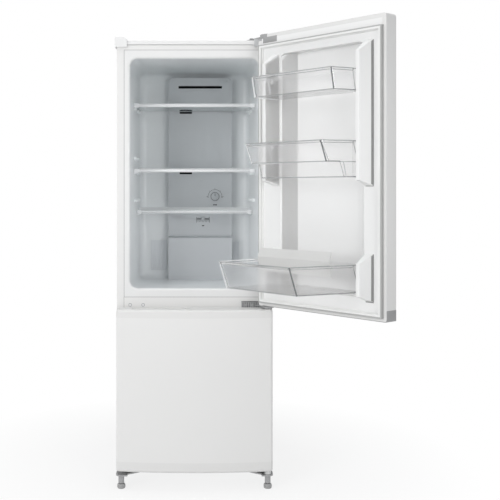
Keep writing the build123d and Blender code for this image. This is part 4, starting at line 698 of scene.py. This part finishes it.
# ---------------------------------------------------------------- hinges, caps and screws
corner = bmesh.new()
slab(corner, (164, -264.5, 1381), (222, -260.6, 1399), 1.0, 2)
slab(corner, (170, -261.0, 1386.5), (214, -260.2, 1388.5), 0.3, 1)
put("door_hinge_corner", corner, gray_plastic, "fridge_door", door_turn)
rib_pitch = 4.4
end_plug = bmesh.new()
slab(end_plug, (-242.8, -305, 571.6), (-239, -262.6, 602), 0.8, 2)
for i in range(6):
    z = 576 + i * rib_pitch
    slab(end_plug, (-243.2, -304, z), (-241, -264, z + 1.2), 0.3, 1)
slab(end_plug, (-241, -263, 570.8), (225, -261.6, 572.6), 0.4, 1)
put("door_end_plug", end_plug, gray_plastic, "fridge_door", door_turn)


def panel(name, corners, thick):
    """A thin flat panel of the door's liner, from its corners."""
    form = bmesh.new()
    form.faces.new([form.verts.new(mm(*place)) for place in corners])
    bmesh.ops.solidify(form, geom=form.faces[:], thickness=thick / 1000)
    put(name, form, door_liner, "fridge_door", door_turn)


# The recess's slanted side by the hinge, and the lining of the rib beside it.
panel(
    "recess_slope",
    [
        (154, -262.2, 658),
        (129, -275.7, 634),
        (104, -289.2, 634),
        (104, -289.2, 1338),
        (129, -275.7, 1338),
        (154, -262.2, 1314),
    ],
    1.2,
)
panel(
    "hinge_rib_lining",
    [(153.4, -261.4, 944), (161.0, -211.4, 960), (161.0, -211.4, 1304), (153.4, -261.4, 1338)],
    0.8,
)

# Painted shade at the foot of the free-side ribs, where each rib shades the field: a dark strip on the field,
# under the rib's lower end, and up its outer side.
rib_foot_x = -198
rib_draft = 6 / 52  # how far the rib's outer side leans in for each millimetre out from the door
# how far up the rib's outer side the painted shade climbs
shade_rise = 8.0
end_slope = 0.31  # how fast the rib's lower end draws in
roots = bmesh.new()
for low, high in ((942, 1340), (623, 753)):
    slab(roots, (rib_foot_x - 2.2, -262.4, low), (rib_foot_x + 2.8, -261.3, high), 0.4, 1)
    slab(roots, (rib_foot_x - 1.8, -262.4, low - 3.5), (-172, -261.4, low + 1), 0.4, 1)
    for vertex in bmesh.ops.create_cube(roots, size=1, matrix=stay)["verts"]:
        rise = 0.4 if vertex.co.y < 0 else shade_rise
        out = -0.6 if vertex.co.x < 0 else 0.5
        drawn = end_slope * rise
        z = low + 0.5 + drawn if vertex.co.z < 0 else high - 0.5 - 2 * drawn
        vertex.co = mm(rib_foot_x + rise * rib_draft + out, door_inner + rise, z)
put("rib_foot_painted_shade", roots, painted_rib_shade, "fridge_door", door_turn)

lip = bmesh.new()
slab(lip, (147.5, -256.2, 576.3), (204, -253.1, 577.8), 0.3, 1)
slab(lip, (147.5, -254.2, 553.6), (204, -253.1, 554.6), 0.3, 1)
for x in range(152, 202, 7):
    slab(lip, (x, -253.6, 557), (x + 1.4, -253.0, 574), 0.2, 1)
put("middle_hinge_lip", lip, black_plastic, "cabinet")

heads = bmesh.new()
for x, y in ((182, -214), (232, -214), (214, -236)):
    stub(heads, (x, y, 1410.4), (x, y, 1412.4), 6.5, 5.2)
    stub(heads, (x, y, 1412.3), (x, y, 1412.6), 3.0, 3.0, sides=6)
put("top_hinge_plugs", heads, gray_plastic, "cabinet")

foot_y, grip_radius, grip_ribs = -284, 11.9, 18
for side, x in (("left", -228), ("right", 228)):
    grip = bmesh.new()
    for i in range(grip_ribs):
        angle = 2 * pi * i / grip_ribs
        rib_x, rib_y = x + grip_radius * cos(angle), foot_y + grip_radius * sin(angle)
        stub(grip, (rib_x, rib_y, 3.6), (rib_x, rib_y, 11.4), 0.9, 0.9, sides=8)
    put(f"foot_{side}_grip", grip, foot_plastic, f"foot_{side}")

# ---------------------------------------------------------------- back: beads, screws, compressor's pipes
bead_sunk, bead_proud, bead_half = case_back - 0.6, case_back + 1.6, 5
beads = bmesh.new()
for x in (-180, -108, -36, 36, 108, 180):
    slab(beads, (x - bead_half, bead_sunk, 330), (x + bead_half, bead_proud, 1310), 1.9, 3)
for z in (288, 1350):
    slab(beads, (-205, bead_sunk, z - bead_half), (205, bead_proud, z + bead_half), 1.9, 3)
put("back_panel_beads", beads, zinc, "cabinet")

screw_places = [(x, z) for x in (-224, 224) for z in (262, 480, 700, 920, 1140, 1374)]
screw_places += [(x, 1374) for x in (-120, 0, 120)]
screws = bmesh.new()
for x, z in screw_places:
    stub(screws, (x, case_back - 0.4, z), (x, case_back + 2.6, z), 5.4, 4.2, sides=24)
    stub(screws, (x, case_back + 2.4, z), (x, case_back + 4.6, z), 3.6, 3.3, sides=6)
put("back_panel_screws", screws, zinc, "cabinet")


def pipe(name, runs, radius):
    """A bent copper pipe in the compressor's niche."""
    rods(name, runs, radius, copper, "cabinet", smooth=True, sides=6)


pipe(
    "suction_pipe",
    [[(-6, 120, 118), (22, 120, 118), (44, 121, 120), (52, 122, 150), (54, 122, 200), (54, 124, 248)]],
    4.0,
)
pipe(
    "discharge_pipe",
    [
        [(-10, 180, 96), (30, 186, 96), (70, 196, 96), (108, 206, 98), (120, 207, 118), (120, 206, 150)],
        [(120, 206, 176), (120, 206, 200), (128, 200, 222), (140, 190, 236), (142, 186, 249)],
    ],
    2.6,
)
drier_x, drier_y, drier_radius, drier_neck = 120, 206, 8.5, 3.4
drier = bmesh.new()
for low, high, radius, end_radius in (
    (148, 154, drier_neck, drier_radius),
    (154, 172, drier_radius, drier_radius),
    (172, 178, drier_radius, drier_neck),
):
    stub(drier, (drier_x, drier_y, low), (drier_x, drier_y, high), radius, end_radius)
put("pipe_drier", drier, copper, "cabinet")
pipe(
    "filling_stub",
    [[(-140, 152, 100), (-160, 152, 101), (-176, 153, 104), (-182, 154, 128), (-183, 154, 150)]],
    3.0,
)
relay = bmesh.new()
slab(relay, (8, 136, 84), (32, 172, 128), 3.0, 3)
slab(relay, (31, 141, 90), (34, 167, 122), 1.2, 2)
put("relay_cover", relay, black_plastic, "cabinet")


# ---------------------------------------------------------------- floor, light and camera
def direct_transmission(tree, path):
    """One for a ray that came through glass and met nothing matt before, else nought."""
    first = tree.nodes.new("ShaderNodeMath")
    first.operation = "LESS_THAN"
    first.inputs[1].default_value = 0.5
    tree.links.new(path.outputs["Diffuse Depth"], first.inputs[0])
    both = tree.nodes.new("ShaderNodeMath")
    both.operation = "MULTIPLY"
    tree.links.new(path.outputs["Is Transmission Ray"], both.inputs[0])
    tree.links.new(first.outputs[0], both.inputs[1])
    return both.outputs[0]


def studio_material(name, colour, show_from, show_to, shown_near):
    """A pale surface that cameras, gloss and glass see as white, and less so near the refrigerator."""
    material = bpy.data.materials.new(name)
    material.use_nodes = True
    tree = material.node_tree
    tree.nodes.clear()
    out = tree.nodes.new("ShaderNodeOutputMaterial")
    matt = tree.nodes.new("ShaderNodeBsdfDiffuse")
    matt.inputs["Color"].default_value = (*colour, 1)
    glow = tree.nodes.new("ShaderNodeEmission")
    glow.inputs["Color"].default_value = (1, 1, 1, 1)
    path = tree.nodes.new("ShaderNodeLightPath")
    seen = tree.nodes.new("ShaderNodeMath")
    seen.operation = "MAXIMUM"
    tree.links.new(path.outputs["Is Camera Ray"], seen.inputs[0])
    tree.links.new(path.outputs["Is Glossy Ray"], seen.inputs[1])
    seen_too = tree.nodes.new("ShaderNodeMath")
    seen_too.operation = "MAXIMUM"
    tree.links.new(seen.outputs[0], seen_too.inputs[0])
    tree.links.new(direct_transmission(tree, path), seen_too.inputs[1])
    place = tree.nodes.new("ShaderNodeTexCoord")
    far = tree.nodes.new("ShaderNodeVectorMath")
    far.operation = "LENGTH"
    tree.links.new(place.outputs["Object"], far.inputs[0])
    fade = tree.nodes.new("ShaderNodeMapRange")
    fade.inputs["From Min"].default_value = show_from
    fade.inputs["From Max"].default_value = show_to
    fade.inputs["To Min"].default_value = shown_near
    tree.links.new(far.outputs["Value"], fade.inputs["Value"])
    share = tree.nodes.new("ShaderNodeMath")
    share.operation = "MULTIPLY"
    tree.links.new(seen_too.outputs[0], share.inputs[0])
    tree.links.new(fade.outputs["Result"], share.inputs[1])
    mix = tree.nodes.new("ShaderNodeMixShader")
    tree.links.new(share.outputs[0], mix.inputs["Fac"])
    tree.links.new(matt.outputs[0], mix.inputs[1])
    tree.links.new(glow.outputs[0], mix.inputs[2])
    tree.links.new(mix.outputs[0], out.inputs["Surface"])
    return material


def lay_floor():
    """A wide round floor that keeps the refrigerator's shadow."""
    mesh = bpy.data.meshes.new("studio_floor")
    disc = bmesh.new()
    bmesh.ops.create_circle(disc, cap_ends=True, segments=96, radius=6.0)
    disc.to_mesh(mesh)
    disc.free()
    floor = bpy.data.objects.new("studio_floor", mesh)
    bpy.context.scene.collection.objects.link(floor)
    mesh.materials.append(
        studio_material("pale studio floor", (0.86, 0.86, 0.86), show_from=0.35, show_to=0.95, shown_near=0.8)
    )


def light_world():
    """White where it is seen directly or through glass, and a soft cool light on the refrigerator."""
    world = bpy.data.worlds.new("studio")
    world.use_nodes = True
    bpy.context.scene.world = world
    tree = world.node_tree
    tree.nodes.clear()
    out = tree.nodes.new("ShaderNodeOutputWorld")
    white = tree.nodes.new("ShaderNodeBackground")
    white.inputs["Color"].default_value = (1, 1, 1, 1)
    white.inputs["Strength"].default_value = 1.0
    soft = tree.nodes.new("ShaderNodeBackground")
    soft.inputs["Color"].default_value = (0.97, 0.985, 1.0, 1)
    soft.inputs["Strength"].default_value = 0.55
    path = tree.nodes.new("ShaderNodeLightPath")
    seen = tree.nodes.new("ShaderNodeMath")
    seen.operation = "MAXIMUM"
    tree.links.new(path.outputs["Is Camera Ray"], seen.inputs[0])
    tree.links.new(direct_transmission(tree, path), seen.inputs[1])
    mix = tree.nodes.new("ShaderNodeMixShader")
    tree.links.new(seen.outputs[0], mix.inputs["Fac"])
    tree.links.new(soft.outputs[0], mix.inputs[1])
    tree.links.new(white.outputs[0], mix.inputs[2])
    tree.links.new(mix.outputs[0], out.inputs["Surface"])


def softbox(name, place, target, size, power, spread=180):
    """A rectangular lamp at a place, turned to a target."""
    light = bpy.data.lights.new(name, "AREA")
    light.shape = "RECTANGLE"
    light.size, light.size_y = size
    light.energy = power
    light.spread = radians(spread)
    lamp = bpy.data.objects.new(name, light)
    bpy.context.scene.collection.objects.link(lamp)
    lamp.location = place
    lamp.rotation_euler = (Vector(target) - Vector(place)).to_track_quat("-Z", "Y").to_euler()


def set_camera():
    """A level camera whose shift, not its tilt, frames the refrigerator as the photograph does."""
    lens = bpy.data.cameras.new("camera")
    lens.lens = 63.72
    lens.sensor_width = 36.0
    lens.shift_x = 0.111
    lens.shift_y = -0.121
    camera = bpy.data.objects.new("camera", lens)
    bpy.context.scene.collection.objects.link(camera)
    camera.location = (0.0, -3.042, 0.930)
    camera.rotation_euler = (radians(90), 0, 0)
    bpy.context.scene.camera = camera


lay_floor()
light_world()
softbox("key softbox", (-2.1, -2.9, 1.7), (0.1, -0.3, 0.9), (1.6, 1.8), 42)
softbox("front softbox", (0.95, -2.5, 1.1), (-0.2, 0.0, 0.95), (0.5, 1.0), 6.5)
softbox("inside softbox", (0.75, -1.3, 1.0), (-0.16, 0.0, 0.97), (0.25, 0.6), 0.17, 40)
softbox("top softbox", (0.0, -0.6, 2.9), (0.0, -0.1, 1.0), (1.6, 1.2), 12)
set_camera()
bpy.context.scene.view_settings.view_transform = "Standard"
